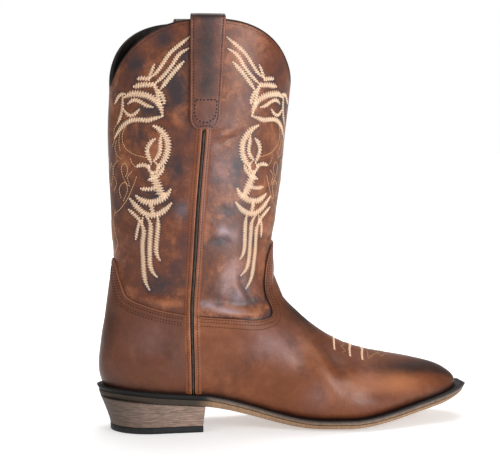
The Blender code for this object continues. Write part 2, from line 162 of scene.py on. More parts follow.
# Sole and heel
WELT_MARGIN = ((0.0, 5.0), (0.3, 4.7), (0.5, 5.0), (0.8, 6.6),
               (0.985, 8.2), (0.9955, 9.2), (0.9991, 10.4), (1.0, 9.0))
BEVEL_SHARES = (0.0, 0.1, 0.3, 0.98, 0.998, 1.0)
WELT_TOP_BEVEL = (-1.3, -0.5, 0.0)
WELT_FOOT_BEVEL = (0.1, 0.1, 1.3)
SOLE_TOP_BEVEL = (0.4, 0.1, 1.8)
SOLE_FOOT_BEVEL = (2.3, 0.7, 6.0)
WELT_INSET = 3.2
SOLE_STEPS = (60, 120)
SOLE_COLUMNS = 24
SOLE_LEVELS = (0.0, 0.08, 0.2, 0.35, 0.5, 0.65, 0.8, 0.93, 1.0)
HEEL_BACK = (11.5, 3.5)
HEEL_BREAST = (82.0, 83.4)
HEEL_HALF_WIDTH = (29.5, 31.5)
HEEL_ROUND = (0.46, 0.42)
HEEL_HOLLOW = 1.25


def ease(t):
    """A soft step from 0 to 1."""
    t = np.clip(t, 0, 1)
    return t * t * (3 - 2 * t)


def bell(gap, width):
    """A soft bump, 1 in its middle."""
    return np.exp(-(gap / width) ** 2)


def lengths(vectors):
    return np.linalg.norm(vectors, axis=-1)


def unit(vectors):
    return vectors / lengths(vectors)[..., None]


def smooth(knots, values, at):
    """Cubic curve through values, which run over the knots and may differ from point to point."""
    at = np.asarray(at, float)
    knots = np.asarray(knots, float)
    values = np.asarray(values, float)
    slopes = np.gradient(values, knots, axis=0)
    low = np.clip(np.searchsorted(knots, at, side="right") - 1, 0, len(knots) - 2)
    step = knots[low + 1] - knots[low]
    t = np.clip((at - knots[low]) / step, 0, 1)

    def pick(table, index):
        return table[index] if table.ndim == 1 else np.take_along_axis(table, index[None], 0)[0]

    rise = ease(t)
    value = pick(values, low) * (1 - rise) + pick(values, low + 1) * rise
    return value + step * t * (1 - t) * ((1 - t) * pick(slopes, low) - t * pick(slopes, low + 1))


def fine_line(places, count=80):
    """Fine points of a smooth line through places given by two numbers."""
    first, second = np.array(places, float).T
    share = np.linspace(0, 1, len(places))
    at = np.linspace(0, 1, count)
    return smooth(share, first, at), smooth(share, second, at)


def tread_z(x):
    """Height of the outsole's underside along its middle line."""
    x = np.asarray(x, float)
    slope = (BREAST_Z - SEAT_BACK_Z) / BREAST_X
    seat = SEAT_BACK_Z + slope * x
    reach = BALL_BACK - BREAST_X
    t = np.clip((x - BREAST_X) / reach, 0, 1)
    arch = (1 - t) ** 2 * ((1 + 2 * t) * BREAST_Z + t * slope * reach * ARCH_PULL)
    toe = TOE_SPRING * (np.clip(x - BALL_FRONT, 0, None) / (TIP_X - BALL_FRONT)) ** TOE_CURL
    return np.where(x < BREAST_X, seat, np.where(x < BALL_BACK, arch, toe))


def section_table():
    """The sections as an array, with the first ring laid on the welt."""
    table = np.array(SECTIONS)
    for end in ("back", "front"):
        height = tread_z(table[0, COLUMNS.index(end + "_x")]) + FEATHER_RISE
        table[0, COLUMNS.index(end + "_z")] = height
    return table


SECTION_TABLE = section_table()


def ring_at(h):
    """The section columns at ring h, from 0 at the welt to 1 at the top."""
    rings = np.linspace(0, 1, len(SECTION_TABLE))
    return {name: smooth(rings, SECTION_TABLE[:, i], h) for i, name in enumerate(COLUMNS)}


def round_end(share, reach, power):
    """Half width of a rounded end, from 0 at its tip to 1 at its reach."""
    q = np.clip(share / reach, 0, 1)
    return np.clip(1 - (1 - q) ** power, 0, None) ** (1 / power)


def upper_point(u, h):
    """Outer face of the upper: u is 0 at the back, pi/2 at the outer side seam, pi at the front."""
    u, h = np.broadcast_arrays(np.asarray(u, float), np.asarray(h, float))
    ring = ring_at(h)
    length = ring["front_x"] - ring["back_x"]
    seam = (ring["seam_x"] - ring["back_x"]) / length
    turn = (1 - np.cos(u)) / 2
    t = seam * turn / (seam * turn + (1 - seam) * (1 - turn))
    x = ring["back_x"] + length * t
    chord = ring["back_z"] + (ring["front_z"] - ring["back_z"]) * t
    tread_back = tread_z(ring["back_x"])
    tread_chord = tread_back + (tread_z(ring["front_x"]) - tread_back) * t
    z = chord + ring["follow"] * (tread_z(x) - tread_chord)
    outer = np.sin(u) >= 0
    ball = np.where(outer, ring["ball_out"], ring["ball_in"])
    tip = ring["toe"] * TIP_SHARE
    widths = np.stack([ring["heel"], ring["heel"], ring["waist"], ball, ring["toe"], tip])
    toe_power = OVAL_POWER + (TOE_POWER - OVAL_POWER) * np.clip(1 - h / TOE_POWER_RINGS, 0, 1)
    half = smooth(STATIONS, widths, t) * round_end(t, ring["heel_round"], OVAL_POWER)
    half = half * round_end(1 - t, ring["nose_round"], toe_power)
    middle = ring["swing"] * np.clip((t - SWING_FROM) / (1 - SWING_FROM), 0, 1) ** SWING_POWER
    return np.stack([x, np.where(outer, middle - half, middle + half), z], -1)


def upper_slopes(u, h):
    """Change of the upper's face along u and along h."""
    step = 1e-4
    inside = np.clip(h, 2 * step, 1 - 2 * step)
    along = (upper_point(u + step, h) - upper_point(u - step, h)) / (2 * step)
    up = (upper_point(u, inside + step) - upper_point(u, inside - step)) / (2 * step)
    return along, up


def upper_normal(u, h):
    """Unit normal of the upper, pointing out."""
    return unit(np.cross(*upper_slopes(u, h)))


def ring_through(u, z):
    """The ring that passes height z at angle u."""
    u, z = np.broadcast_arrays(np.asarray(u, float), np.asarray(z, float))
    low = np.zeros(u.shape)
    high = np.ones(u.shape)
    for _ in range(HALVINGS):
        middle = (low + high) / 2
        below = upper_point(u, middle)[..., 2] < z
        low = np.where(below, middle, low)
        high = np.where(below, high, middle)
    return (low + high) / 2


def angle_at(x, h, side):
    """The angle where ring h passes x, on the outer side (1) or the inner side (-1)."""
    ring = ring_at(h)
    length = ring["front_x"] - ring["back_x"]
    seam = (ring["seam_x"] - ring["back_x"]) / length
    t = (x - ring["back_x"]) / length
    turn = t * (1 - seam) / (t * (1 - seam) + (1 - t) * seam)
    return side * np.arccos(1 - 2 * turn)


def collar_z(u):
    u = u - COLLAR_TWIST * (1 + np.cos(u)) / 2
    climb = (1 - np.abs(np.cos(u)) ** COLLAR_POWER) ** COLLAR_SHOULDER
    climb = np.hypot(climb, COLLAR_DIP_ROUND) - COLLAR_DIP_ROUND
    full = math.hypot(1, COLLAR_DIP_ROUND) - COLLAR_DIP_ROUND
    return COLLAR_SIDE_Z - COLLAR_DIP * (1 - climb / full)


def seam_z(u):
    angles, heights = zip(*SEAM_LINE)
    return smooth(angles, heights, np.degrees(np.arccos(np.cos(u))))


def half_turn(steps):
    """Angles from the back through the side seam to the front, crowded towards the toe."""
    back = np.linspace(0, math.pi / 2, steps[0] + 1)
    front = math.pi - math.pi / 2 * np.linspace(1, 0, steps[1] + 1) ** TOE_CROWDING
    return np.concatenate([back, front[1:]])


def full_turn(steps):
    half = half_turn(steps)
    return np.concatenate([half, 2 * math.pi - half[-2:0:-1]])


def sole_ring(margin, bevel=(0.0, 0.0, 0.0), steps=SOLE_STEPS):
    """Plan ring outside the upper's lower rim by a margin, drawn in by a bevel at back, sides and toe."""
    u = full_turn(steps)
    rim = upper_point(u, 0 * u)
    out = unit(upper_normal(u, 0 * u)[:, :2])
    share = (1 - np.cos(u)) / 2
    widths = np.interp(share, *zip(*margin)) if isinstance(margin, tuple) else np.full(len(u), margin)
    back, middle, toe = bevel
    inset = np.interp(share, BEVEL_SHARES, (back, back, middle, middle, toe, toe))
    return rim[:, :2] + out * (widths - inset)[:, None]


LIFT_LOW, LIFT_HIGH = (np.array(corner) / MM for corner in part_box("heel_top_lift"))
ORIGIN = np.array([HEEL_BACK[0] - LIFT_LOW[0], -(LIFT_LOW[1] + LIFT_HIGH[1]) / 2, 0.0])

# Soft creases of the leather: path of angles and heights, half width, rise (below 0 for a trough).
# Each fades towards its ends and stops at a reach of some half widths.
CREASES = (
    (((97, 104), (107, 97.5), (116, 95), (126, 94.5), (136, 97)), 2.8, 1.8),
    (((100, 110), (110, 104), (121, 102), (131, 104)), 4.0, -1.2),
    (((160, 112), (170, 114), (180, 115), (190, 114), (200, 112)), 8.0, -2.4),
    (((118, 132), (118.5, 118), (123, 107)), 3.6, 0.8),
    (((124, 128), (124.5, 116), (127, 106)), 3.4, -0.45),
    (((100, 158), (108, 161), (119, 153)), 3.2, 0.7),
    (((101, 150), (109, 153.5), (115, 149)), 3.4, -0.6),
    (((147, 125), (145, 112), (141, 101)), 2.4, -0.9),
    (((134, 78), (131, 63), (128.5, 51), (128, 36)), 6.0, -1.4),
    (((141, 71), (137, 60), (133.5, 46), (132.5, 26)), 6.0, 1.2),
    (((146, 64), (141, 54), (138, 43), (137, 33)), 5.5, -1.0),
    (((96, 234), (104, 238), (113, 243)), 4.0, 1.1),
    (((96, 226), (106, 230), (116, 237)), 4.5, -1.1),
    (((55, 107), (68, 104.5), (84, 103)), 3.0, 0.9),
    (((60, 114), (74, 111), (86, 110)), 3.6, -0.7),
    (((30, 150), (50, 143), (66, 141)), 5.0, -0.6),
    (((26, 160), (46, 154), (64, 152)), 6.0, 0.5),
    (((170, 158), (150, 153), (136, 150)), 4.5, -0.7),
    (((172, 168), (152, 164), (134, 163)), 5.5, 0.5),
)
CREASE_POINTS = 60
CREASE_REACH = 3.0
CREASE_END = 0.06
CREASE_FADE = 0.7


def crease_paths():
    """Crease centre lines on the upper, on both of its sides."""
    paths = []
    for places, width, rise in CREASES:
        angles, heights = fine_line(places, CREASE_POINTS)
        angles = np.radians(angles)
        for turn in (angles, 2 * math.pi - angles):
            paths.append((upper_point(turn, ring_through(turn, heights)), width, rise))
    return paths


CREASE_PATHS = crease_paths()


def relief(points):
    """Height of the creases at points of the upper's face."""
    flat = points.reshape(-1, 3)
    height = np.zeros(len(flat))
    for path, width, rise in CREASE_PATHS:
        reach = CREASE_REACH * width
        near = np.all((flat > path.min(axis=0) - reach) & (flat < path.max(axis=0) + reach), axis=1)
        index = np.nonzero(near)[0]
        if len(index):
            gaps = lengths(flat[index, None] - path)
            share = gaps.argmin(axis=1) / (CREASE_POINTS - 1)
            fade = np.sin(math.pi * (CREASE_END + (1 - 2 * CREASE_END) * share)) ** CREASE_FADE
            height[index] += rise * fade * bell(gaps.min(axis=1), width)
    return height.reshape(points.shape[:-1])


# Tones on the outer side: angle, height, half width, half height, strength
# Dark spots: patches of the waxed leather, and a painted dark reflection across the top of the toe, (150,
# 46) to (180, 40)
DARK_SPOTS = (
    (41, 291, 10, 8, 1), (64, 311, 7, 9, 0.7), (72, 272, 9, 17, 1.1), (76, 299, 4, 6, 0.5),
    (53, 255, 9, 5, 0.9), (45, 236, 10, 9, 0.7), (74, 210, 9, 14, 1), (53, 207, 7, 5, 0.5),
    (59, 190, 8, 4, 0.8), (80, 178, 7, 9, 0.8), (73, 150, 7, 7, 0.5), (28, 138, 7, 14, 0.3),
    (114, 212, 6, 14, 0.9), (110, 177, 12, 6, 1), (106, 152.5, 6.5, 4.5, 0.55), (129, 104, 9, 6, 0.3),
    (160, 200, 12, 22, 0.5), (152, 262, 10, 16, 0.4), (20, 205, 8, 24, 0.5), (18, 270, 10, 14, 0.5),
    (77, 71, 13, 12, 0.3), (22, 80, 9, 34, 0.5), (116, 62, 14, 7, 0.25), (170, 85, 18, 26, 0.6),
    (150, 46, 18, 6, 0.2), (158, 45, 18, 6, 0.3), (165, 42.5, 14, 5.5, 0.45), (171, 39, 12, 5.5, 0.55),
    (176, 35, 10, 6, 0.6), (180, 40, 12, 6, 0.3), (78, 135, 6, 8, 0.5), (73, 122, 11, 8, 0.5),
    (67, 116, 9, 5, 0.5), (105, 48, 24, 16, 0.2),
)
# Light spots: worn, pulled-up leather, and painted highlights and painted light on the shaft and lower vamp
WEAR_AND_PAINTED_LIGHT_SPOTS = (
    (73, 252, 6, 9, 0.8), (148, 140, 6, 16, 0.5), (43, 113, 9, 6, 0.4), (96, 160, 5, 12, 0.8),
    (116, 99, 20, 3.5, 0.8), (78, 105, 11, 4, 0.5), (54, 61, 5, 9, 0.3), (111, 279, 12, 16, 0.4),
    (134, 25, 18, 8, 0.25), (142, 36, 22, 8, 0.6), (152, 33, 22, 8, 0.9), (108, 159, 3, 3, 0.5),
    (104, 206, 8, 14, 0.4), (118, 158, 5, 6, 0.4), (115, 118, 6, 8, 0.5), (60, 228, 7, 9, 0.4),
    (66, 180, 6, 8, 0.4), (58, 165, 8, 8, 0.3), (34, 175, 8, 10, 0.3), (80, 240, 5, 9, 0.3),
    (131, 60, 10, 11, 0.55),
)
# Spots of painted sheen: bluish highlights painted into the leather's colour
PAINTED_SHEEN_SPOTS = (
    (108, 160, 4.5, 4, 0.42), (113, 158, 5, 4, 0.2), (118, 155, 5, 6, 0.2), (79, 178, 5, 6, 0.15),
    (115, 122, 8, 15, 0.25), (119, 108, 5, 7, 0.25), (104, 208, 9, 13, 0.15), (97, 104, 6, 2.4, 0.3),
    (101, 101.3, 6, 2.2, 0.35), (106, 98.6, 6, 2.2, 0.4), (111, 97, 6, 2.2, 0.35),
    (116, 96, 6, 2.2, 0.2), (122, 70, 18, 12, 0.17), (128, 61, 12, 12, 0.12), (129.6, 30, 9, 10, 0.1),
    (144.4, 37, 15, 8, 0.06), (66, 77, 16, 14, 0.08),
)


def tone(points, spots):
    """Strength of a tone at points of the upper's face, from its spots on both sides."""
    strength = np.zeros(points.shape[:-1])
    for angle, z, half_width, half_height, most in spots:
        for u in (math.radians(angle), -math.radians(angle)):
            h = ring_through(u, z)
            gap = points - upper_point(u, h)
            aside = gap @ unit(upper_slopes(u, h)[0]) / half_width
            through = gap @ upper_normal(u, h) / (2 * half_width)
            strength += most * np.exp(-aside ** 2 - through ** 2 - (gap[..., 2] / half_height) ** 2)
    return strength


def leather_point(u, h, lift=0.0):
    """A point of the creased leather, lifted off the upper's face."""
    base = upper_point(u, h)
    return base + upper_normal(u, h) * (relief(base) + lift)[..., None]


def place(points):
    return (np.asarray(points) - ORIGIN) * MM


def show(name, data):
    """An object in the scene with a mesh, light or camera."""
    made = bpy.data.objects.new(name, data)
    bpy.context.scene.collection.objects.link(made)
    return made


def add_piece(name, points, faces, finish, node=None, slot=None, marks=None):
    """A mesh of the boot, which may stand for a CAD node."""
    mesh = bpy.data.meshes.new(name)
    mesh.from_pydata(place(points).tolist(), [], faces)
    solid = bmesh.new()
    solid.from_mesh(mesh)
    if solid.calc_volume(signed=True) < 0:
        mesh.flip_normals()
    solid.free()
    mesh.shade_smooth()
    for key, values in (marks or {}).items():
        mesh.attributes.new(key, "FLOAT", "POINT").data.foreach_set("value", np.ravel(values))
    mesh.materials.append(finish)
    made = show(name, mesh)
    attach(made, "root")
    if node:
        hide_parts(node)
    return made


def grid_faces(rows, columns, looped):
    """Faces between closed rings of points; looped joins the last ring to the first."""
    row, column = np.meshgrid(np.arange(rows if looped else rows - 1), np.arange(columns), indexing="ij")
    following = (column + 1) % columns
    low = row * columns
    high = (row + 1) % rows * columns
    corners = [low + column, low + following, high + following, high + column]
    return np.stack(corners, -1).reshape(-1, 4).tolist()


def loft(name, rings, finish, looped=False, **given):
    """A closed solid through rings of points, which end in flat caps or join up in a loop."""
    rings = np.asarray(rings)
    count, columns = rings.shape[:2]
    faces = grid_faces(count, columns, looped)
    if not looped:
        faces.append(tuple(reversed(range(columns))))
        faces.append(tuple(range((count - 1) * columns, count * columns)))
    return add_piece(name, rings.reshape(-1, 3), faces, finish, **given)


def feed(tree, socket, value):
    """Links a node's input to another node's output, or sets it to a value."""
    if isinstance(value, bpy.types.NodeSocket):
        tree.links.new(value, socket)
    else:
        socket.default_value = value


def set_inputs(tree, node, **inputs):
    for key, value in inputs.items():
        feed(tree, node.inputs[key.replace("_", " ")], value)


def wire(tree, kind, out=0, **inputs):
    """A shader node with its inputs set or linked; returns one of its outputs."""
    made = tree.nodes.new(kind)
    set_inputs(tree, made, **inputs)
    return made.outputs[out]


def calc(tree, operation, *values):
    made = tree.nodes.new("ShaderNodeMath")
    made.operation = operation
    for socket, value in zip(made.inputs, values):
        feed(tree, socket, value)
    return made.outputs[0]


def blend(tree, factor, first, second):
    """A mix of two colours."""
    made = tree.nodes.new("ShaderNodeMix")
    made.data_type = "RGBA"
    for index, value in ((0, factor), (6, first), (7, second)):
        feed(tree, made.inputs[index], (*value, 1.0) if isinstance(value, tuple) else value)
    return made.outputs[2]


def ramp(tree, factor, stops):
    made = tree.nodes.new("ShaderNodeValToRGB")
    elements = made.color_ramp.elements
    while len(elements) < len(stops):
        elements.new(0.5)
    for element, (position, colour) in zip(elements, stops):
        element.position = position
        element.color = (*colour, 1.0)
    tree.links.new(factor, made.inputs[0])
    return made.outputs[0]


def span(tree, value, low, high, to_low=0.0, to_high=1.0):
    """The value's place between low and high, carried to another span and kept inside it."""
    ends = {"From_Min": low, "From_Max": high, "To_Min": to_low, "To_Max": to_high}
    return wire(tree, "ShaderNodeMapRange", Value=value, **ends)


def noise(tree, where, scale, detail, **given):
    return wire(tree, "ShaderNodeTexNoise", Vector=where, Scale=scale, Detail=detail, **given)


def bumps(tree, height, strength, distance, **given):
    return wire(tree, "ShaderNodeBump", Height=height, Strength=strength, Distance=distance, **given)


def mark(tree, name):
    """A tone that the mesh carries at its points."""
    made = tree.nodes.new("ShaderNodeAttribute")
    made.attribute_name = name
    return made.outputs["Fac"]


def new_finish(name):
    made = bpy.data.materials.new(name)
    made.use_nodes = True
    tree = made.node_tree
    shader = tree.nodes["Principled BSDF"]
    where = wire(tree, "ShaderNodeTexCoord", out="Object")
    return made, tree, shader, where


# Bluish painted sheen, a highlight painted into the leather's colour
PAINTED_SHEEN = (0.33, 0.31, 0.37)


def leather(name, deep, body, light, mottle):
    """Waxed leather: dark patches and painted shade, pulled-up light areas and painted light, painted sheen,
    fine grain, soft gloss.
    """
    made, tree, shader, where = new_finish(name)
    cloud = noise(tree, where, 30.0, 5.0, Roughness=0.6, Distortion=0.5)
    fleck = noise(tree, where, 170.0, 4.0, Roughness=0.65)
    fine = noise(tree, where, 900.0, 2.0)
    raw = calc(tree, "MULTIPLY_ADD", fleck, 0.3, calc(tree, "MULTIPLY", cloud, 0.56))
    raw = calc(tree, "MULTIPLY_ADD", fine, 0.14, raw)
    offset = calc(tree, "SUBTRACT", raw, 0.5)
    shade = calc(tree, "MULTIPLY_ADD", offset, mottle, 0.5)
    dim = tuple(0.45 * b + 0.55 * d for b, d in zip(body, deep))
    colour = ramp(tree, shade, ((0.36, dim), (0.5, body), (0.72, light)))
    hue = noise(tree, where, 17.0, 3.0)
    plum = (0.8 * body[0], 0.85 * body[1], 1.5 * body[2])
    colour = blend(tree, span(tree, hue, 0.45, 0.65, 0.0, 0.6), colour, plum)
    # Wear and painted light, lighter where the mesh marks it
    wear_and_painted_light = calc(tree, "MULTIPLY_ADD", offset, 1.6 * mottle, mark(tree, "wear_and_painted_light"))
    colour = blend(tree, span(tree, wear_and_painted_light, 0.12, 1.0), colour, light)
    # Dark patches and painted shade, darker where the mesh marks it
    dark = calc(tree, "MULTIPLY_ADD", offset, -1.9 * mottle, mark(tree, "dark"))
    colour = blend(tree, span(tree, dark, 0.12, 0.9, 0.0, 0.95), colour, deep)
    # Painted sheen: a bluish highlight painted into the colour at the marked spots
    painted_sheen_amount = calc(tree, "MULTIPLY", calc(tree, "MULTIPLY_ADD", offset, 3.0, 1.0), mark(tree, "painted_sheen"))
    colour = blend(tree, span(tree, painted_sheen_amount, 0.0, 1.0), colour, PAINTED_SHEEN)
    pores = wire(tree, "ShaderNodeTexVoronoi", Vector=where, Scale=1000.0)
    wrinkle = noise(tree, where, 420.0, 3.0, Roughness=0.7)
    grain = calc(tree, "MULTIPLY_ADD", pores, 0.5, wrinkle)
    bump = bumps(tree, grain, 0.2, 0.0006)
    swell = noise(tree, where, 45.0, 3.0, Distortion=0.4)
    bump = bumps(tree, swell, 0.4, 0.003, Normal=bump)
    rough = span(tree, hue, 0.4, 0.62, 0.52, 0.34)
    set_inputs(tree, shader, Base_Color=colour, Roughness=rough, Normal=bump, Specular_IOR_Level=0.32)
    return made


def thread(name, colour, shade):
    """Twisted thread with a dull sheen."""
    made, tree, shader, where = new_finish(name)
    fibre = noise(tree, where, 1800.0, 2.0)
    tint = ramp(tree, fibre, ((0.35, shade), (0.6, colour)))
    bump = bumps(tree, fibre, 0.3, 0.0003)
    set_inputs(tree, shader, Base_Color=tint, Normal=bump, Roughness=0.7, Specular_IOR_Level=0.2)
    return made


def dark_leather(name, colour, edge, roughness, gloss):
    """Dyed leather of a lining, binding or piping, or black rubber, with scuffed lighter flecks."""
    made, tree, shader, where = new_finish(name)
    fleck = noise(tree, where, 240.0, 4.0, Roughness=0.65)
    tint = ramp(tree, fleck, ((0.42, colour), (0.72, edge)))
    bump = bumps(tree, fleck, 0.25, 0.0005)
    set_inputs(tree, shader, Base_Color=tint, Normal=bump, Roughness=roughness, Specular_IOR_Level=gloss)
    return made


def layered(name, stops, dark, streak, stretch):
    """Cut leather seen from its edge: tones by height, streaks, and a dark tone where marked, dressing on
    the sole's edge and painted shade on the heel.
    """
    made, tree, shader, where = new_finish(name)
    lay = wire(tree, "ShaderNodeMapping", Vector=where, Scale=stretch)
    fibre = noise(tree, lay, 1.0, 5.0, Roughness=0.7)
    tint = ramp(tree, mark(tree, "rise"), stops)
    tint = blend(tree, span(tree, fibre, 0.4, 0.62, streak, 0.0), tint, dark)
    tint = blend(tree, span(tree, mark(tree, "dressing_and_shade"), 0.0, 1.0), tint, dark)
    bump = bumps(tree, fibre, 0.35, 0.0005)
    set_inputs(tree, shader, Base_Color=tint, Roughness=0.6, Normal=bump, Specular_IOR_Level=0.25)
    return made


SHAFT_FINISH = leather("shaft_leather", (0.027, 0.018, 0.021), (0.13, 0.036, 0.012),
                       (0.35, 0.125, 0.053), 1.35)
VAMP_FINISH = leather("vamp_leather", (0.024, 0.007, 0.004), (0.168, 0.046, 0.013),
                      (0.36, 0.13, 0.055), 0.45)
COUNTER_FINISH = leather("counter_leather", (0.028, 0.01, 0.006), (0.125, 0.036, 0.012),
                         (0.22, 0.08, 0.04), 0.55)
STRAP_FINISH = leather("strap_leather", (0.026, 0.016, 0.015), (0.115, 0.036, 0.018),
                       (0.25, 0.09, 0.05), 0.9)
BAND_FINISH = leather("band_leather", (0.04, 0.01, 0.005), (0.21, 0.058, 0.017),
                      (0.48, 0.21, 0.1), 0.7)
LINING_FINISH = dark_leather("lining", (0.003, 0.003, 0.003), (0.006, 0.005, 0.005), 0.95, 0.08)
BINDING_FINISH = dark_leather("binding", (0.01, 0.006, 0.005), (0.03, 0.017, 0.012), 0.6, 0.22)
PIPING_FINISH = dark_leather("piping", (0.012, 0.008, 0.006), (0.06, 0.035, 0.025), 0.4, 0.3)
RUBBER_FINISH = dark_leather("top_lift", (0.009, 0.009, 0.011), (0.018, 0.018, 0.019), 0.6, 0.3)
DRESSING_AND_SHADOW = (0.008, 0.007, 0.007)
TAUPE = (0.13, 0.1, 0.075)
TAN = (0.36, 0.215, 0.12)
FOOT_LINE = (0.04, 0.028, 0.02)
# Welt tones, foot to inner edge: its near-black inner top is dark dressing and a painted shadow under the
# upper
WELT_TONES = ((0.0, (0.3, 0.19, 0.115)), (0.2, (0.17, 0.125, 0.095)), (0.42, (0.06, 0.05, 0.044)),
              (0.55, (0.02, 0.018, 0.017)), (0.8, DRESSING_AND_SHADOW))
WELT_FINISH = layered("welt", WELT_TONES, DRESSING_AND_SHADOW, 0.35, (300, 300, 300))
SOLE_FINISH = layered("sole_leather", ((0.0, FOOT_LINE), (0.12, TAN), (0.9, TAN), (1.0, TAUPE)),
                      (0.018, 0.015, 0.012), 0.4, (900, 900, 120))
HEEL_TONES = ((0.0, (0.38, 0.25, 0.19)), (0.5, (0.41, 0.275, 0.215)), (1.0, (0.37, 0.25, 0.19)))
HEEL_FINISH = layered("heel_leather", HEEL_TONES, (0.035, 0.027, 0.022), 0.65, (140, 140, 2000))
CREAM_THREAD = thread("cream_thread", (0.95, 0.69, 0.49), (0.64, 0.43, 0.27))
LINE_THREAD = thread("line_thread", (0.62, 0.38, 0.2), (0.36, 0.2, 0.1))
TAN_THREAD = thread("tan_thread", (0.4, 0.23, 0.12), (0.22, 0.12, 0.06))
BROWN_THREAD = thread("brown_thread", (0.05, 0.016, 0.01), (0.025, 0.01, 0.007))
BLACK_THREAD = thread("black_thread", (0.012, 0.007, 0.006), (0.008, 0.005, 0.005))
WELT_THREAD = thread("welt_thread", (0.06, 0.045, 0.035), (0.03, 0.024, 0.02))


# Leather edges: lap under the vamp and counter, rounding, rest above the shaft, ends at the side seams
SEAM_UNDERLAP = 5.0
EDGE_ROUND = 0.9
EDGE_ROWS = (0.0, 0.12, 0.3, 0.6, 1.0)
EDGE_START = 0.12
EDGE_REST = 0.3 * GAP
INNER_REST = 0.2 * GAP
END_STRETCH = 0.02
END_STEPS = 6
END_CLEAR = 0.025
LINING_DROP = 1.0
LINING_GAP = 0.1

# Tones of creases (painted shade in troughs, wear and painted highlight on ridges), of the shaft above its
# seam (painted shadow, front and back half), of edges, welt line (dirt and painted shade) and thread
TROUGH_SHADE = 0.3
RIDGE_WEAR_AND_HIGHLIGHT = 0.35
FOLD_MOST = 0.5
SEAM_SHADE = (0.8, 0.2)
SEAM_SHADE_REACH = 1.1
EDGE_DARK_REACH = 0.6
EDGE_WEAR_AND_HIGHLIGHT_AT = 0.9
EDGE_WEAR_AND_HIGHLIGHT_REACH = 0.7
DIRT_AND_SHADE_MOST = 1.5
WELT_DIRT_AND_SHADE_REACH = 3.0
THREAD_SHADE = 0.4

# Section of the collar's binding: outwards and upwards from the rim
BINDING_PROFILE = (
    (0.1, -0.9), (0.3, -0.7), (0.3, -0.1), (0.1, 0.25), (-0.6, 0.42), (-1.1, 0.45), (-1.6, 0.42),
    (-2.3, 0.3), (-2.6, -0.1), (-2.6, -5.6), (-2.4, -6.0), (-2.25, -5.6),
    (-2.25, -0.4), (-1.1, 0.1), (0.05, -0.4),
)


def leather_marks(points):
    """Tones of the leather at points, with painted shade in troughs and wear with a painted highlight on
    ridges.
    """
    height = relief(points)
    dark = tone(points, DARK_SPOTS) + np.clip(-TROUGH_SHADE * height, 0, FOLD_MOST)
    wear_and_painted_light = tone(points, WEAR_AND_PAINTED_LIGHT_SPOTS) + np.clip(RIDGE_WEAR_AND_HIGHLIGHT * height, 0, FOLD_MOST)
    return {"dark": dark, "wear_and_painted_light": wear_and_painted_light, "painted_sheen": tone(points, PAINTED_SHEEN_SPOTS)}


def with_inner(marks, back):
    """Tones of a piece's outer rows, repeated on its inner rows."""
    return {key: np.concatenate([values, values[:, back]], axis=1) for key, values in marks.items()}


def edge_lift(gap, thickness):
    """Lift of a leather edge, rounded over its first stretch."""
    return thickness * (EDGE_START + (1 - EDGE_START) * round_end(gap, EDGE_ROUND, OVAL_POWER))


def shaft_rows(u):
    """Rings of the shaft's rows at angles u, from the collar down to under the vamp and counter."""
    top = ring_through(u, collar_z(u))
    low = ring_through(u, seam_z(u) - SEAM_UNDERLAP)
    return top[:, None] + (low - top)[:, None] * np.linspace(0, 1, SHAFT_ROWS + 1)


def build_shaft():
    u = full_turn(TURN_STEPS)
    rows = shaft_rows(u)
    turns = u[:, None] + 0 * rows
    base = upper_point(turns, rows)
    outer = leather_point(turns, rows)
    back = np.linspace(SHAFT_ROWS, 0, INSIDE_ROWS + 1).astype(int)
    inner = leather_point(turns[:, back], rows[:, back], -LEATHER_T)
    marks = leather_marks(base)
    marks["dark"] += THREAD_SHADE * near_motif(outer)
    above = base[..., 2] - seam_z(u)[:, None]
    marks["dark"] += np.where(np.cos(u) < 0, *SEAM_SHADE)[:, None] * bell(above, SEAM_SHADE_REACH)
    rings = np.concatenate([outer, inner], axis=1)
    marks = with_inner(marks, back)
    loft("shaft", rings, SHAFT_FINISH, looped=True, node="upper", slot="shaft_leather", marks=marks)


def build_lining():
    u = full_turn(TURN_STEPS)[::2]
    top = ring_through(u, collar_z(u) - LINING_DROP)
    rows = top[:, None] * np.linspace(1, 0, LINING_ROWS + 1)
    turns = u[:, None] + 0 * rows
    face = upper_point(turns, rows)
    out = upper_normal(turns, rows)
    outer = face - (LEATHER_T + LINING_GAP) * out
    inner = face - WALL_T * out
    rings = np.concatenate([outer, inner[:, ::-1]], axis=1)
    loft("lining", rings, LINING_FINISH, looped=True, slot="lining")


def build_binding():
    """Thin leather folded over the collar's rim."""
    u = full_turn(TURN_STEPS)
    h = ring_through(u, collar_z(u))
    rim = upper_point(u, h)
    out = upper_normal(u, h)
    along = unit(np.roll(rim, -1, axis=0) - np.roll(rim, 1, axis=0))
    up = unit(np.cross(out, along))
    up = up * np.sign(up[:, 2:])
    rings = np.stack([rim + a * out + b * up for a, b in BINDING_PROFILE], axis=1)
    loft("collar_binding", rings, BINDING_FINISH, looped=True, slot="piping_leather")


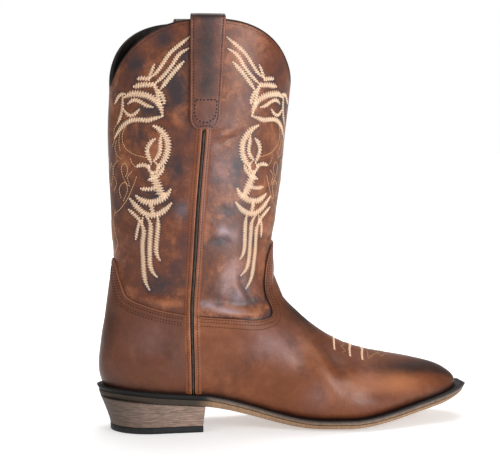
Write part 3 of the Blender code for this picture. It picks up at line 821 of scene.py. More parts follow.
def overlay(name, u, finish, slot, edge_dark, edge_wear_and_highlight):
    """Leather over the foot, rounded at its upper edge and side seams; its upper edge darker, and lighter
    with wear and a painted highlight.
    """
    top = ring_through(u, seam_z(u))
    crowd = np.linspace(0, 1, FOOT_ROWS + 1)[1:]
    per_mm = 1 / lengths(upper_slopes(u, top)[1])[:, None]
    near = top[:, None] - np.array(EDGE_ROWS) * EDGE_ROUND * per_mm
    rows = np.concatenate([near, near[:, -1:] * (1 - crowd)], axis=1)
    turns = u[:, None] + 0 * rows
    base = upper_point(turns, rows)
    gap_top = (top[:, None] - rows) / per_mm
    gap_ends = np.minimum(lengths(base - base[:1]), lengths(base - base[-1:]))
    lift = EDGE_REST + edge_lift(np.minimum(gap_top, gap_ends), GAP + OVERLAY_T - EDGE_REST)
    out = upper_normal(turns, rows)
    height = relief(base)
    outer = base + out * (lift + height)[..., None]
    back = np.linspace(rows.shape[1] - 1, 0, INSIDE_ROWS + 1).astype(int)
    inner = (base + out * (height + INNER_REST)[..., None])[:, back]
    marks = leather_marks(base)
    # Dirt and painted shade, darker towards the upper's lower rim at the welt
    marks["dark"] += DIRT_AND_SHADE_MOST * np.exp(-lengths(base - base[:, -1:]) / WELT_DIRT_AND_SHADE_REACH)
    marks["dark"] += edge_dark * bell(gap_top, EDGE_DARK_REACH)
    # Wear and a painted highlight along the upper edge
    marks["wear_and_painted_light"] += edge_wear_and_highlight * bell(gap_top - EDGE_WEAR_AND_HIGHLIGHT_AT, EDGE_WEAR_AND_HIGHLIGHT_REACH)
    rings = np.concatenate([outer, inner], axis=1)
    loft(name, rings, finish, node=name, slot=slot, marks=with_inner(marks, back))


def build_vamp_and_counter():
    half = half_turn(TURN_STEPS)
    close = PIPING_ROOM + np.linspace(0, END_STRETCH, END_STEPS)
    front = np.concatenate([SEAM + close, half[half > SEAM + PIPING_ROOM + END_CLEAR]])
    back = np.concatenate([half[half < SEAM - PIPING_ROOM - END_CLEAR], SEAM - close[::-1]])
    vamp = np.concatenate([front, 2 * math.pi - front[-2::-1]])
    counter = np.concatenate([-back[:0:-1], back])
    overlay("vamp", vamp, VAMP_FINISH, "vamp_leather", edge_dark=0.7, edge_wear_and_highlight=0.3)
    overlay("heel_counter", counter, COUNTER_FINISH, "counter_leather", edge_dark=0.0, edge_wear_and_highlight=0.9)


def build_piping(name, side):
    """Cord in a side seam, from the welt up to the end of the pull strap."""
    top = ring_through(SEAM, STRAP_LOW_Z - PIPING_R - GAP)
    h = np.linspace(PIPING_START, float(top), PIPING_POINTS)
    u = np.full(PIPING_POINTS, side * SEAM)
    route = leather_point(u, h, GAP + PIPING_R)
    out = upper_normal(u, h)
    across = unit(np.cross(out, np.gradient(route, axis=0)))
    turn = np.linspace(0, 2 * math.pi, PIPING_SIDES, endpoint=False)[:, None]
    rings = route[:, None] + PIPING_R * (np.cos(turn) * across[:, None] + np.sin(turn) * out[:, None])
    loft(name, rings, PIPING_FINISH, node=name, slot="piping_leather")


def beside_seam(across, z, side):
    """Angles and rings at a distance along X from a side seam, at a height."""
    h = ring_through(side * SEAM, z)
    u = angle_at(ring_at(h)["seam_x"] + across, h, side)
    return u, ring_through(u, z)


def strap_half_width(z):
    share = np.clip((z - STRAP_LOW_Z) / (COLLAR_SIDE_Z - STRAP_LOW_Z), 0, 1)
    return (STRAP_LOW_W + (STRAP_TOP_W - STRAP_LOW_W) * share) / 2


def strap_end(z):
    """Share of the strap's width that is left by its rounded end."""
    end = (z - STRAP_LOW_Z) / STRAP_END_ROUND
    return STRAP_END_SHARE + (1 - STRAP_END_SHARE) * round_end(end, 1.0, OVAL_POWER)


# Grid, groove and tones of a pull strap
STRAP_OUTER_ROWS = 80
STRAP_CROWDING = 1.5
STRAP_BEND_ROWS = 14
STRAP_INNER_ROWS = 40
STRAP_COLUMNS = 37
STRAP_UNDER_STEP = 4
STRAP_UNDER_LIFT = 0.02
STRAP_END_EDGE = 0.2
GROOVE_REACH = 0.5
GROOVE_DEPTH = 0.2
GROOVE_SHADE = 0.25
STRAP_SHADE = 0.75
STRAP_SHADE_REACH = 7.5
BOX_FADE = 8.0
BOX_SHADE_LEAST = 0.15
BEND_SHADE = 0.6
BEND_FADE = 2.0
STRAP_WEAR = 0.6
STRAP_WEAR_AT = 1.0
STRAP_WEAR_REACH = 0.8


def strap_path():
    """Offsets from the upper's outer face, heights and end shares along a strap, its rounded end first."""
    bend = WALL_T / 2 + STRAP_GAP
    share = np.linspace(0, 1, STRAP_OUTER_ROWS) ** STRAP_CROWDING
    outer = STRAP_LOW_Z + share * (COLLAR_SIDE_Z - STRAP_LOW_Z)
    rows = [(STRAP_GAP, z, strap_end(z)) for z in outer]
    for turn in np.linspace(0, math.pi, STRAP_BEND_ROWS)[1:-1]:
        rows.append((bend * math.cos(turn) - WALL_T / 2, COLLAR_SIDE_Z + bend * math.sin(turn), 1.0))
    inner = np.linspace(COLLAR_SIDE_Z, STRAP_INNER_Z, STRAP_INNER_ROWS)
    rows += [(-WALL_T - STRAP_GAP, z, 1.0) for z in inner]
    return np.array(rows).T[..., None]


def build_strap(name, side):
    offset, z, end = strap_path()
    spread = np.sin(np.linspace(-math.pi / 2, math.pi / 2, STRAP_COLUMNS))
    across = spread * side * strap_half_width(z) * end
    u, h = beside_seam(across, z + 0 * across, side)
    grid = upper_point(u, h) + offset[..., None] * upper_normal(u, h)
    out = unit(np.cross(np.gradient(grid, axis=1), np.gradient(grid, axis=0)))
    gap = np.minimum(lengths(grid - grid[:, :1]), lengths(grid - grid[:, -1:]))
    gap = np.minimum(gap, lengths(grid - grid[:1]) + STRAP_END_EDGE)
    groove = bell(gap - STRAP_ROW, GROOVE_REACH)
    top = grid + out * (edge_lift(gap, STRAP_T) - GROOVE_DEPTH * groove)[..., None]
    back = np.arange(STRAP_COLUMNS)[::-STRAP_UNDER_STEP]
    below = grid[:, back] + STRAP_UNDER_LIFT * out[:, back]
    above_box = np.clip((z - STRAP_BOX[0][1] + BOX_FADE / 2) / BOX_FADE, BOX_SHADE_LEAST, 1)
    dark = STRAP_SHADE * above_box * bell(across, STRAP_SHADE_REACH) + GROOVE_SHADE * groove
    dark = dark + BEND_SHADE * np.clip((z - COLLAR_SIDE_Z + BEND_FADE / 2) / BEND_FADE, 0, 1)
    wear_and_painted_light = STRAP_WEAR * bell(gap - STRAP_WEAR_AT, STRAP_WEAR_REACH)
    rings = np.concatenate([top, below], axis=1)
    marks = with_inner({"dark": dark, "wear_and_painted_light": wear_and_painted_light}, back)
    loft(name, rings, STRAP_FINISH, node=name, slot="strap_leather", marks=marks)


# Points along a strap's rows of stitches, and how deep they lie
STRAP_LINE_POINTS = 200
STRAP_FOOT_POINTS = 30
BOX_POINTS = 120
LID_POINTS = 40
STITCH_SINK = 0.1


def strap_outline(inset):
    """Distances along X and heights round a strap's outer face, inside its edge."""
    z = STRAP_LOW_Z + np.linspace(1, 0, STRAP_LINE_POINTS) ** 2 * (COLLAR_SIDE_Z - STRAP_LOW_Z)
    half = strap_half_width(z) * strap_end(z)
    foot = np.linspace(-half[-1], half[-1], STRAP_FOOT_POINTS)[1:-1]
    across = np.concatenate([-half, foot, half[::-1]])
    z = np.concatenate([z, np.full(len(foot), STRAP_LOW_Z), z[::-1]])
    line = np.column_stack([across, z])
    ahead = unit(np.gradient(line, axis=0))
    return line + inset * np.column_stack([-ahead[:, 1], ahead[:, 0]])


def build_strap_stitches():
    curve = np.column_stack(fine_line(STRAP_BOX, BOX_POINTS))
    left, right = curve[[0, -1], 0]
    lid = np.column_stack([np.linspace(left, right, LID_POINTS), np.full(LID_POINTS, STRAP_BOX[0][1])])
    rows = []
    boxes = []
    edge = (strap_outline(STRAP_ROW), rows, ROW_STITCH)
    for side in (1, -1):
        for line, groups, sizes in (edge, (curve, boxes, BOX_STITCH), (lid, boxes, BOX_STITCH)):
            u, h = beside_seam(line[:, 0], line[:, 1], side)
            out = upper_normal(u, h)
            face = upper_point(u, h) + (STRAP_GAP + STRAP_T - STITCH_SINK) * out
            groups.append(along_row(face, out, *sizes))
    stitches("strap_stitches", rows, BROWN_THREAD, "strap_leather")
    stitches("strap_box_stitches", boxes, BLACK_THREAD, "strap_leather")


# Seam bands: the ramp up to the vamp and counter, the bands' ends, and their tones: wear and a painted
# highlight on the inner edge, painted shade in the groove and at the outer edge
RAMP_START = 1.0
RAMP_LENGTH = 2.5
BAND_START = 0.006
BAND_TOP_LAP = 3.0
BAND_WEAR_AND_HIGHLIGHT = 0.9
BAND_WEAR_AND_HIGHLIGHT_REACH = 0.1
BAND_GROOVE_SHADE = 0.3
BAND_GROOVE_AT = 0.54
BAND_GROOVE_REACH = 0.08
BAND_EDGE_SHADE = 0.5
BAND_EDGE_FROM = 0.8


def over_foot(h):
    """Share of a side seam's ring that lies on the vamp and counter, from 0 above their edge to 1."""
    z = upper_point(SEAM + 0 * h, h)[..., 2]
    return ease((seam_z(SEAM) + RAMP_START - z) / RAMP_LENGTH)


def seam_angle(h, gap, side):
    """Angle at a gap from a side seam, ahead of it where the gap is above 0."""
    along, _ = upper_slopes(np.full(np.shape(h), SEAM), h)
    return side * (SEAM + gap / lengths(along))


def band_lift(h, share):
    """Height of a band's face above the upper, at a share of its thickness."""
    foot = over_foot(h)
    return foot * (GAP + OVERLAY_T) + share * (BAND_T[0] + (BAND_T[1] - BAND_T[0]) * foot)


def build_seam_bands():
    """Folded leather edges along both sides of each piping."""
    top = float(ring_through(SEAM, STRAP_LOW_Z + BAND_TOP_LAP))
    h = np.linspace(BAND_START, top, BAND_ROWS)[:, None]
    share, rise = np.array(BAND_PROFILE).T
    gap = BAND_EDGES[0] + (BAND_EDGES[1] - BAND_EDGES[0]) * share
    dark = BAND_GROOVE_SHADE * bell(share - BAND_GROOVE_AT, BAND_GROOVE_REACH)
    dark = dark + BAND_EDGE_SHADE * np.clip(share - BAND_EDGE_FROM, 0, 1)
    marks = {"wear_and_painted_light": BAND_WEAR_AND_HIGHLIGHT * bell(share, BAND_WEAR_AND_HIGHLIGHT_REACH) + 0 * h, "dark": dark + 0 * h}
    for side, side_name in ((1, "outer"), (-1, "inner")):
        for ahead, end_name in ((1, "front"), (-1, "back")):
            u = seam_angle(h, ahead * gap, side)
            rings = leather_point(u, h + 0 * u, band_lift(h, rise))
            name = "seam_band_" + side_name + "_" + end_name
            loft(name, rings, BAND_FINISH, slot="shaft_leather", marks=marks)


# Stitching of the welt, tones of the sole's edge and sizes of its rims
WELT_ROW = 2.7
WELT_ROW_SINK = 0.15
HEEL_FADE = 20.0
SOLE_LIP = 0.5
SOLE_DRESSING = 0.92
PLATE_TONE = 0.3


def on_tread(plan, height):
    """Points over places in plan, at a height above the outsole's underside."""
    return np.column_stack([plan, tread_z(plan[:, 0]) + height])


def build_welt():
    top = sole_ring(WELT_MARGIN, WELT_TOP_BEVEL)
    foot = sole_ring(WELT_MARGIN, WELT_FOOT_BEVEL)
    hole = sole_ring(-WELT_INSET)
    out = unit(top - hole)
    low = OUTSOLE_T + GAP
    high = low + WELT_T
    # Each ring of the section with its height and its place among the welt's tones
    profile = (
        (foot - 0.4 * out, low, 0.0), (foot, low + 0.3, 0.0), ((foot + top) / 2, low + WELT_T / 2, 0.2),
        (top, high - 0.8, 0.4), (top - 0.25 * out, high - 0.25, 0.45), (top - 0.8 * out, high, 0.55),
        (top - 2.2 * out, high, 0.7), (top - WELT_ROW * out, high - 0.25, 0.8), (top - 3.2 * out, high, 0.9),
        (hole, high, 1.0), (hole, low, 1.0),
    )
    rings = np.stack([on_tread(ring, height) for ring, height, _ in profile], axis=1)
    rise = np.stack([np.maximum(share, heel_share(ring[:, 0])) for ring, _, share in profile], axis=1)
    marks = {"rise": rise, "dressing_and_shade": 0 * rise}
    loft("welt", rings, WELT_FINISH, looped=True, node="welt", slot="welt_leather", marks=marks)
    row = on_tread(top - WELT_ROW * out, high - WELT_ROW_SINK)
    group = along_row(row, np.tile((0.0, 0.0, 1.0), (len(row), 1)), *WELT_STITCH)
    stitches("welt_stitches", [group], WELT_THREAD, "welt_leather")


def heel_share(x):
    """Share of the dark dressing on the sole's edge, from 1 over the heel to 0 ahead of its breast."""
    return ease((BREAST_X + HEEL_FADE / 2 - x) / HEEL_FADE)


def crown_at(x):
    """Rise of the sole's rounded edge, from 0 at the heel to its full size at the ball."""
    return EDGE_CROWN * np.clip((x - BREAST_X) / (BALL_BACK - BREAST_X), 0, 1)


def sole_rows(ring):
    """Plan points inside a ring, in rows from its outer to its inner side between its two tips."""
    half = len(ring) // 2
    across = np.linspace(0, 1, SOLE_COLUMNS + 1)[:, None]
    return np.array([ring[k] + (ring[-k] - ring[k]) * across for k in range(1, half)])


def build_outsole():
    """The sole as a loft of rings up its edge, closed by rows across its underside and top."""
    top = sole_ring(WELT_MARGIN, SOLE_TOP_BEVEL)
    foot = sole_ring(WELT_MARGIN, SOLE_FOOT_BEVEL)
    lip = SOLE_LIP * unit(top - sole_ring(-WELT_INSET))
    plans = [foot + (top - foot) * round_end(share, 1.0, OVAL_POWER) for share in SOLE_LEVELS]
    for end in (0, -1):
        plans[end] = plans[end] - lip
    sides = []
    for plan, share in zip(plans, SOLE_LEVELS):
        crown = crown_at(plan[:, 0])
        sides.append(on_tread(plan, crown + (OUTSOLE_T - crown) * share))
    sides = np.stack(sides)
    count = len(top)
    faces = grid_faces(len(plans), count, False)
    points = [sides.reshape(-1, 3)]
    across = np.abs(np.linspace(-1, 1, SOLE_COLUMNS + 1))
    edge = np.clip((across - FLAT_SHARE) / (1 - FLAT_SHARE), 0, 1) ** 2
    for level, base in ((0, 0.0), (len(plans) - 1, OUTSOLE_T)):
        rows = sole_rows(plans[level])
        z = tread_z(rows[..., 0]) + base
        if level == 0:
            z = z + edge * crown_at(rows[..., 0])
        middle = np.dstack([rows, z])[:, 1:-1]
        faces += cap_faces(level * count, count, sum(map(len, points)), middle.shape[:2], level == 0)
        points.append(middle.reshape(-1, 3))
    plates = np.zeros(sum(map(len, points[1:])))
    rise = np.concatenate([np.repeat(SOLE_LEVELS, count), plates + PLATE_TONE])
    dressing_and_shade = np.concatenate([SOLE_DRESSING * heel_share(sides[..., 0]).ravel(), plates])
    marks = {"rise": rise, "dressing_and_shade": dressing_and_shade}
    points = np.concatenate(points)
    add_piece("outsole", points, faces, SOLE_FINISH, node="outsole", slot="sole_leather", marks=marks)


def cap_faces(rim, count, start, shape, downward):
    """Faces of a plate: rows of inner points joined to a rim ring that starts at its back tip."""
    rows, columns = shape

    def index(row, column):
        if column < 0:
            return rim + row + 1
        if column >= columns:
            return rim + count - row - 1
        return start + row * columns + column

    faces = []
    for row in range(rows - 1):
        for column in range(-1, columns):
            near = (index(row, column), index(row + 1, column))
            far = (index(row + 1, column + 1), index(row, column + 1))
            faces.append(near + far)
    for column in range(-1, columns):
        faces.append((rim, index(0, column), index(0, column + 1)))
        faces.append((rim + count // 2, index(rows - 1, column + 1), index(rows - 1, column)))
    return [tuple(reversed(face)) for face in faces] if downward else faces


# Steps and tones of the heel; its tones are painted shade, darker towards the back and in the grooves
# between its lifts
HEEL_SIDE_STEPS = 60
HEEL_BREAST_STEPS = 24
HEEL_LEVELS = 48
HEEL_LIFTS = 5
HEEL_SHADE = 80.0
HEEL_SHADE_POWER = 1.5
HEEL_SHADE_MOST = 0.9
LAP_REACH = 1 / 14
LAP_DEPTH = 0.14
LAP_SHADE = 0.15
LIFT_FOOT_ROUND = 0.6
LIFT_TOP_ROUND = 0.3


def heel_ring(share):
    """Plan ring of the heel, at a share of its height from the floor to the outsole."""
    def between(pair):
        return pair[0] + (pair[1] - pair[0]) * share ** HEEL_HOLLOW

    length = between(HEEL_BREAST) - between(HEEL_BACK)
    turn = np.linspace(0, math.pi / 2, HEEL_SIDE_STEPS + 1)
    along = 1 - np.cos(turn)
    x = between(HEEL_BACK) + length * along
    y = between(HEEL_HALF_WIDTH) * round_end(along, between(HEEL_ROUND), OVAL_POWER)
    breast_y = np.linspace(-y[-1], y[-1], HEEL_BREAST_STEPS + 1)[1:-1]
    breast = np.column_stack([np.full(len(breast_y), x[-1]), breast_y])
    return np.concatenate([np.column_stack([x, -y]), breast, np.column_stack([x, y])[:0:-1]])


def shrink(ring, inset):
    """A ring drawn in towards its middle by about an inset."""
    middle = (ring.min(axis=0) + ring.max(axis=0)) / 2
    return ring - inset * unit(ring - middle)


def build_heel():
    floor = heel_ring(0.0)
    lift = ((shrink(floor, LIFT_FOOT_ROUND), 0.0), (floor, LIFT_FOOT_ROUND),
            (floor, TOP_LIFT_T - LIFT_TOP_ROUND), (shrink(floor, LIFT_TOP_ROUND), TOP_LIFT_T))
    rings = [np.column_stack([ring, np.full(len(ring), z)]) for ring, z in lift]
    loft("heel_top_lift", rings, RUBBER_FINISH, node="heel_top_lift", slot="top_lift")
    rings = []
    dressing_and_shade = []
    foot = TOP_LIFT_T + GAP
    levels = np.linspace(0, 1, HEEL_LEVELS + 1)
    for share in levels:
        lap = share * HEEL_LIFTS
        groove = bell(lap - round(lap), LAP_REACH)
        ring = shrink(heel_ring(share), LAP_DEPTH * groove)
        rings.append(np.column_stack([ring, foot + share * (tread_z(ring[:, 0]) - GAP - foot)]))
        # Painted shade: darker towards the heel's back and in the grooves between its lifts
        shade = np.clip((HEEL_SHADE - ring[:, 0]) / HEEL_SHADE, 0, 1) ** HEEL_SHADE_POWER
        dressing_and_shade.append(np.clip(LAP_SHADE * groove + HEEL_SHADE_MOST * shade, 0, HEEL_SHADE_MOST))
    marks = {"rise": np.repeat(levels, len(floor)), "dressing_and_shade": np.array(dressing_and_shade)}
    loft("heel_stack", rings, HEEL_FINISH, node="heel_stack", slot="heel_leather", marks=marks)


# Stitches: each a short arched capsule, given as rings along it (place, sink, radius share)
STITCH_RINGS = ((-0.5, -0.9, 0.45), (-0.3, -0.15, 0.95), (0.0, 0.15, 1.0),
                (0.3, -0.15, 0.95), (0.5, -0.9, 0.45))
STITCH_SIDES = 6


def stitches(name, groups, finish, slot):
    """Stitches as one mesh: each group is centres, directions with their lengths, normals and a radius."""
    turn = np.linspace(0, 2 * math.pi, STITCH_SIDES, endpoint=False)[:, None]
    run, sink, share = np.array(STITCH_RINGS).T[..., None, None]
    rise = sink + share * np.sin(turn)
    side = share * np.cos(turn)
    points = []
    for centre, along, out, radius in groups:
        across = unit(np.cross(out, along))[:, None, None]
        body = centre[:, None, None] + along[:, None, None] * run
        body = body + radius * (out[:, None, None] * rise + across * side)
        points.append(body.reshape(-1, 3))
    points = np.concatenate(points)
    per = len(STITCH_RINGS) * STITCH_SIDES
    one = grid_faces(len(STITCH_RINGS), STITCH_SIDES, False)
    one.append(list(reversed(range(STITCH_SIDES))))
    one.append(list(range(per - STITCH_SIDES, per)))
    faces = [[start + i for i in face] for start in range(0, len(points), per) for face in one]
    add_piece(name, points, faces, finish, slot=slot)


def along_row(points, normals, pitch, share, radius):
    """A row of stitches along a fine path: a group for the stitches function."""
    steps = np.linalg.norm(np.diff(points, axis=0), axis=1)
    run = np.concatenate([[0], np.cumsum(steps)])
    count = max(1, int(run[-1] / pitch))
    ends = np.linspace(0, run[-1], count + 1)
    middle = (ends[1:] + ends[:-1]) / 2

    def at(values, where):
        return np.column_stack([np.interp(where, run, values[:, i]) for i in range(3)])

    half = share * (ends[1] - ends[0]) / 2
    along = at(points, middle + half) - at(points, middle - half)
    return at(points, middle), along, unit(at(normals, middle)), radius


def beside(u, h, gap):
    """Angles and rings of a path moved within the surface, square to itself, by a gap to its upper side."""
    along, up = upper_slopes(u, h)
    out = unit(np.cross(along, up))
    route = upper_point(u, h)
    ahead = unit(np.gradient(route, axis=0))
    move = unit(np.cross(out, ahead))
    move = move * np.sign((move * up).sum(axis=1, keepdims=True)) * gap
    table = np.stack([along, up, out], axis=-1)
    step = np.linalg.solve(table, move[..., None])[..., 0]
    return u + step[:, 0], np.clip(h + step[:, 1], *ROW_RINGS)


def surface_row(u, h, lift, pitch, share, radius):
    return along_row(leather_point(u, h, lift), upper_normal(u, h), pitch, share, radius)


# Rows of stitches: gaps from their edges, and where they start and end
VAMP_ROWS = (1.8, 4.3, 8.0)
COUNTER_ROWS = (1.9, 3.9, 7.2, 9.2)
SIDE_ROW = 4.15
COLLAR_ROW = 3.0
SIDE_ROW_START = 0.012
SIDE_ROW_SHARE = 0.68
VAMP_END = 0.06
COUNTER_END = 0.08
ROW_RINGS = (0.001, 0.999)
ROW_POINTS = {"vamp": 900, "counter": 500, "side": 420, "collar": 1200}

# Stitches of each kind of row: pitch, share of it that a stitch takes, radius
ROW_STITCH = (2.3, 0.66, 0.38)
COLLAR_STITCH = (2.3, 0.66, 0.304)
BOX_STITCH = (2.7, 0.7, 0.55)
WELT_STITCH = (3.6, 0.66, 0.42)
LINE_STITCH = (2.0, 0.95, 0.34)
TOE_STITCH = (2.0, 0.95, 0.5)


def build_seam_stitches():
    groups = []
    face = GAP + OVERLAY_T
    vamp = np.linspace(SEAM + VAMP_END, 3 * SEAM - VAMP_END, ROW_POINTS["vamp"])
    counter = np.linspace(COUNTER_END - SEAM, SEAM - COUNTER_END, ROW_POINTS["counter"])
    for turn, gaps in ((vamp, VAMP_ROWS), (counter, COUNTER_ROWS)):
        edge = ring_through(turn, seam_z(turn))
        for gap in gaps:
            u, h = beside(turn, edge, -gap)
            groups.append(surface_row(u, h, face, *ROW_STITCH))
    h = np.linspace(SIDE_ROW_START, float(ring_through(SEAM, STRAP_LOW_Z)), ROW_POINTS["side"])
    for side in (1, -1):
        for ahead in (1, -1):
            u = seam_angle(h, ahead * SIDE_ROW, side)
            groups.append(surface_row(u, h, band_lift(h, SIDE_ROW_SHARE), *ROW_STITCH))
    turn = np.linspace(0, 2 * math.pi, ROW_POINTS["collar"])
    u, h = beside(turn, ring_through(turn, collar_z(turn)), -COLLAR_ROW)
    groups.append(surface_row(u, h, 0.0, *COLLAR_STITCH))
    stitches("seam_stitches", groups, BROWN_THREAD, "piping_leather")


# Embroidery of one quarter of the shaft: points as distance from the motif's middle line and height,
# and the width of the stroke at its widest. The middle line leaves the side seam towards the front.
MIDDLE_LINE = ((180.0, 5.2), (225.0, 2.6), (250.0, 3.2), (310.0, 1.0))
STROKES = (
    (((14, 312), (23, 305), (30, 299), (35, 292), (41, 284), (47, 280)), 3.8),
    (((15, 303), (23, 298), (29, 289), (36, 281), (43, 275)), 3.8),
    (((19, 293), (25, 287), (31, 280), (38, 271)), 4.4),
    (((44, 277), (41, 272), (39.5, 266), (38, 259)), 4.2),
    (((42, 291), (46, 282), (47, 278)), 3.3),
    (((46, 279), (52, 280), (57, 279.5)), 4.1),
    (((42, 274.5), (51, 275), (60, 273.5)), 5),
    (((69, 265), (61, 268), (50, 267), (43, 264), (38, 259), (36, 251)), 5.9),
    (((39, 271), (36, 266), (34.5, 260)), 4.2),
    (((67, 268), (73, 267), (76, 264), (79, 260)), 3.7),
    (((70, 266), (70, 257), (72, 250), (75, 244)), 3.7),
    (((65, 260), (60, 263.2), (54, 262), (49, 259), (43, 257.5)), 3.9),
    (((69, 256), (64, 251.5), (59, 252), (54, 256.5)), 3.3),
    (((77, 233), (72, 240), (67, 244.5), (61, 247.5), (54, 248), (48, 247.5), (42, 249), (35, 251)), 4.5),
    (((43, 243.5), (37, 240.5), (33, 236), (30.3, 231), (29.8, 225), (31, 219), (34, 214),
      (38, 209.5)), 6.1),
    (((40, 233.5), (44, 230), (46, 225), (45, 220), (42, 214)), 4.5),
    (((36, 236), (36, 230), (35.5, 224.5), (37, 220), (41, 215.5)), 4.1),
    (((42, 214), (44.5, 211), (42, 207), (37.5, 208), (37, 213), (40, 215.5)), 3.3),
    (((32, 212.5), (34.5, 207.5), (39, 203.5), (45, 201)), 4.1),
    (((43, 211), (49, 213), (55, 211.5)), 3.9),
    (((42, 207), (39.5, 202), (37, 197), (34, 190), (30, 187.5)), 7.8),
    (((37, 195.5), (44, 194), (51, 194.5)), 3.9),
    (((26.5, 194.5), (29.5, 189.5), (34, 186), (40, 183.8), (46, 184), (51, 186), (55, 189.5)), 5.9),
    (((42, 183), (41, 178), (40, 175)), 4.7),
    (((25.5, 183.5), (30.5, 178), (35, 175), (41, 173.5), (47, 175), (53, 179.5), (60.5, 187)), 5.5),
    (((61, 178), (55.5, 174), (50.5, 169.5), (48, 165)), 3.9),
    (((50.5, 169), (52, 162), (53, 154)), 3.1),
    (((48, 172), (48.5, 166.5), (46.5, 161), (47, 153.5), (47, 145), (46, 137), (45, 129),
      (43, 121), (39, 114)), 4.7),
    (((45.5, 173), (41.5, 167), (41.2, 159), (41.2, 151), (41, 142.5), (40.3, 135),
      (38, 129), (33.5, 124.5)), 4.7),
    (((36.5, 174), (35.5, 168), (35.6, 159.5), (36, 151.5), (35.8, 145.5), (34.5, 141), (32, 137.5)), 4.5),
)
LINES = (
    ((66, 243), (68.5, 236), (67, 229), (61.5, 223.5), (55, 220.5), (46, 218.5)),
    ((71, 239), (71.5, 231), (69.5, 223)),
    ((74, 232), (75.5, 226), (73, 220), (68, 217)),
    ((55, 211), (58, 214), (60, 218)),
    ((64, 203), (62, 209), (64.5, 214), (68, 211), (67, 205), (62, 194), (66, 184)),
    ((54, 204), (57, 196), (62, 186), (70, 177), (76, 174)),
    ((72, 216), (77, 211), (77, 204), (73, 198), (77, 192)),
    ((75, 177), (77, 168), (74, 158), (71, 150), (74, 143), (78, 139)),
    ((79, 168), (82, 160), (79, 152), (76, 160), (79, 168)),
    ((80, 214), (84, 206), (81, 196), (78, 205), (80, 214)),
    ((58, 208), (62, 203), (60, 196), (65, 199), (70, 194), (68, 186)),
    ((73, 246), (78, 240), (77, 232), (80, 226)),
)
THREAD_PITCH = 1.02
THREAD_R = 0.42
THREAD_SLANT = 0.3
THREAD_RAGGED = 0.1
THREAD_SINK = 0.32
THREAD_LIFT = 0.1
STROKE_BLUNT = 0.32
TAPER_GAIN = 1.7
MOTIF_REACH = 1.2

# Stitching over the toes, in plan on the outer side of its middle line, repeated on the inner side
TOE_MIDDLE = 3.0
TOE_BARS = (
    ((195, 3), (194, -5), (192.6, -11), (191, -20)),
    ((209.5, 3), (208, -5), (206, -11), (204, -21)),
    ((219.5, 3), (218.5, -5), (216.6, -11), (214.3, -21)),
)
TOE_LINES = (
    ((202, 0), (199, -4), (202, -8), (198.5, -12), (201, -16), (198, -19)),
    ((223, -3), (222, -10), (220.4, -17), (225, -12), (229.3, -7.5), (234, -3)),
    ((231, -4), (233, -8), (234, -10), (237, -6), (241, -3)),
)
TOE_BAR_W = 2.4
TOE_BLUNT = 0.9

# Search for places in plan: first ring, rings allowed, longest steps in angle and ring
PLAN_STEPS = 16
PLAN_START = 0.4
PLAN_RINGS = (0.05, 0.95)
PLAN_TURN_MOST = 0.2
PLAN_RING_MOST = 0.08

# Map of the shaft for the embroidery: first height, end and step, and number of angles
MAP_HEIGHTS = (100.0, 324.0, 4.0)
MAP_ANGLES = 181


def shaft_map():
    """Arc lengths from the side seam round the shaft, on a grid of heights and angles."""
    heights = np.arange(*MAP_HEIGHTS)
    angles = np.linspace(0, math.pi, MAP_ANGLES)
    u, z = np.meshgrid(angles, heights)
    steps = np.linalg.norm(np.diff(upper_point(u, ring_through(u, z)), axis=1), axis=2)
    run = np.concatenate([np.zeros((len(heights), 1)), np.cumsum(steps, axis=1)], axis=1)
    return heights, angles, run - run[:, len(angles) // 2][:, None]


HEIGHTS, ANGLES, RUNS = shaft_map()


def motif_place(across, z, ahead, side):
    """Angle and ring of a motif point, ahead (1) of its middle line or behind (-1), on a side."""
    row = np.clip((z - HEIGHTS[0]) / (HEIGHTS[1] - HEIGHTS[0]), 0, len(HEIGHTS) - 1.001)
    low = row.astype(int)
    part = (row - low)[:, None]
    runs = RUNS[low] * (1 - part) + RUNS[low + 1] * part
    middle = np.interp(z, *zip(*MIDDLE_LINE))
    u = np.array([np.interp(a, run, ANGLES) for a, run in zip(middle + ahead * across, runs)])
    return side * u, ring_through(u, z)


def motif_paths():
    """Points, normals, width (0 for a line) and side of each stroke and line of the shaft's embroidery."""
    paths = []
    for side in (1, -1):
        for ahead in (1, -1):
            for places, width in STROKES + tuple((line, 0.0) for line in LINES):
                u, h = motif_place(*fine_line(places), ahead, side)
                paths.append((leather_point(u, h), upper_normal(u, h), width, side))
    return paths


MOTIF = motif_paths()


def near_motif(points):
    """Share of the shade beside the embroidery, from 1 at a stroke's edge to 0 at its reach."""
    tree = KDTree(sum(len(path[0]) for path in MOTIF))
    halves = []
    for line, _, width, _ in MOTIF:
        for point in line:
            tree.insert(point, len(halves))
            halves.append(width / 2)
    tree.balance()
    flat = points.reshape(-1, 3)
    shade = np.zeros(len(flat))
    for i, point in enumerate(flat):
        _, index, gap = tree.find(point)
        shade[i] = 1 - (gap - halves[index]) / MOTIF_REACH
    return np.clip(shade, 0, 1).reshape(points.shape[:-1])


def satin(points, normals, width, blunt):
    """Threads across a stroke, long and short by turns, which tapers to a blunt share at both ends."""
    centre, along, out, _ = along_row(points, normals, THREAD_PITCH, 1.0, THREAD_R)
    share = (np.arange(len(centre)) + 0.5) / len(centre)
    taper = blunt + (1 - blunt) * np.clip(np.sin(math.pi * share) * TAPER_GAIN, 0, 1)
    ahead = unit(along)
    across = unit(np.cross(out, ahead)) + THREAD_SLANT * ahead
    turn = (-1.0) ** np.arange(len(centre))
    length = width * taper * (1 + THREAD_RAGGED * turn)
    lift = THREAD_LIFT + THREAD_SINK * (turn - 1) / 2
    return centre + lift[:, None] * out, unit(across) * length[:, None], out, THREAD_R


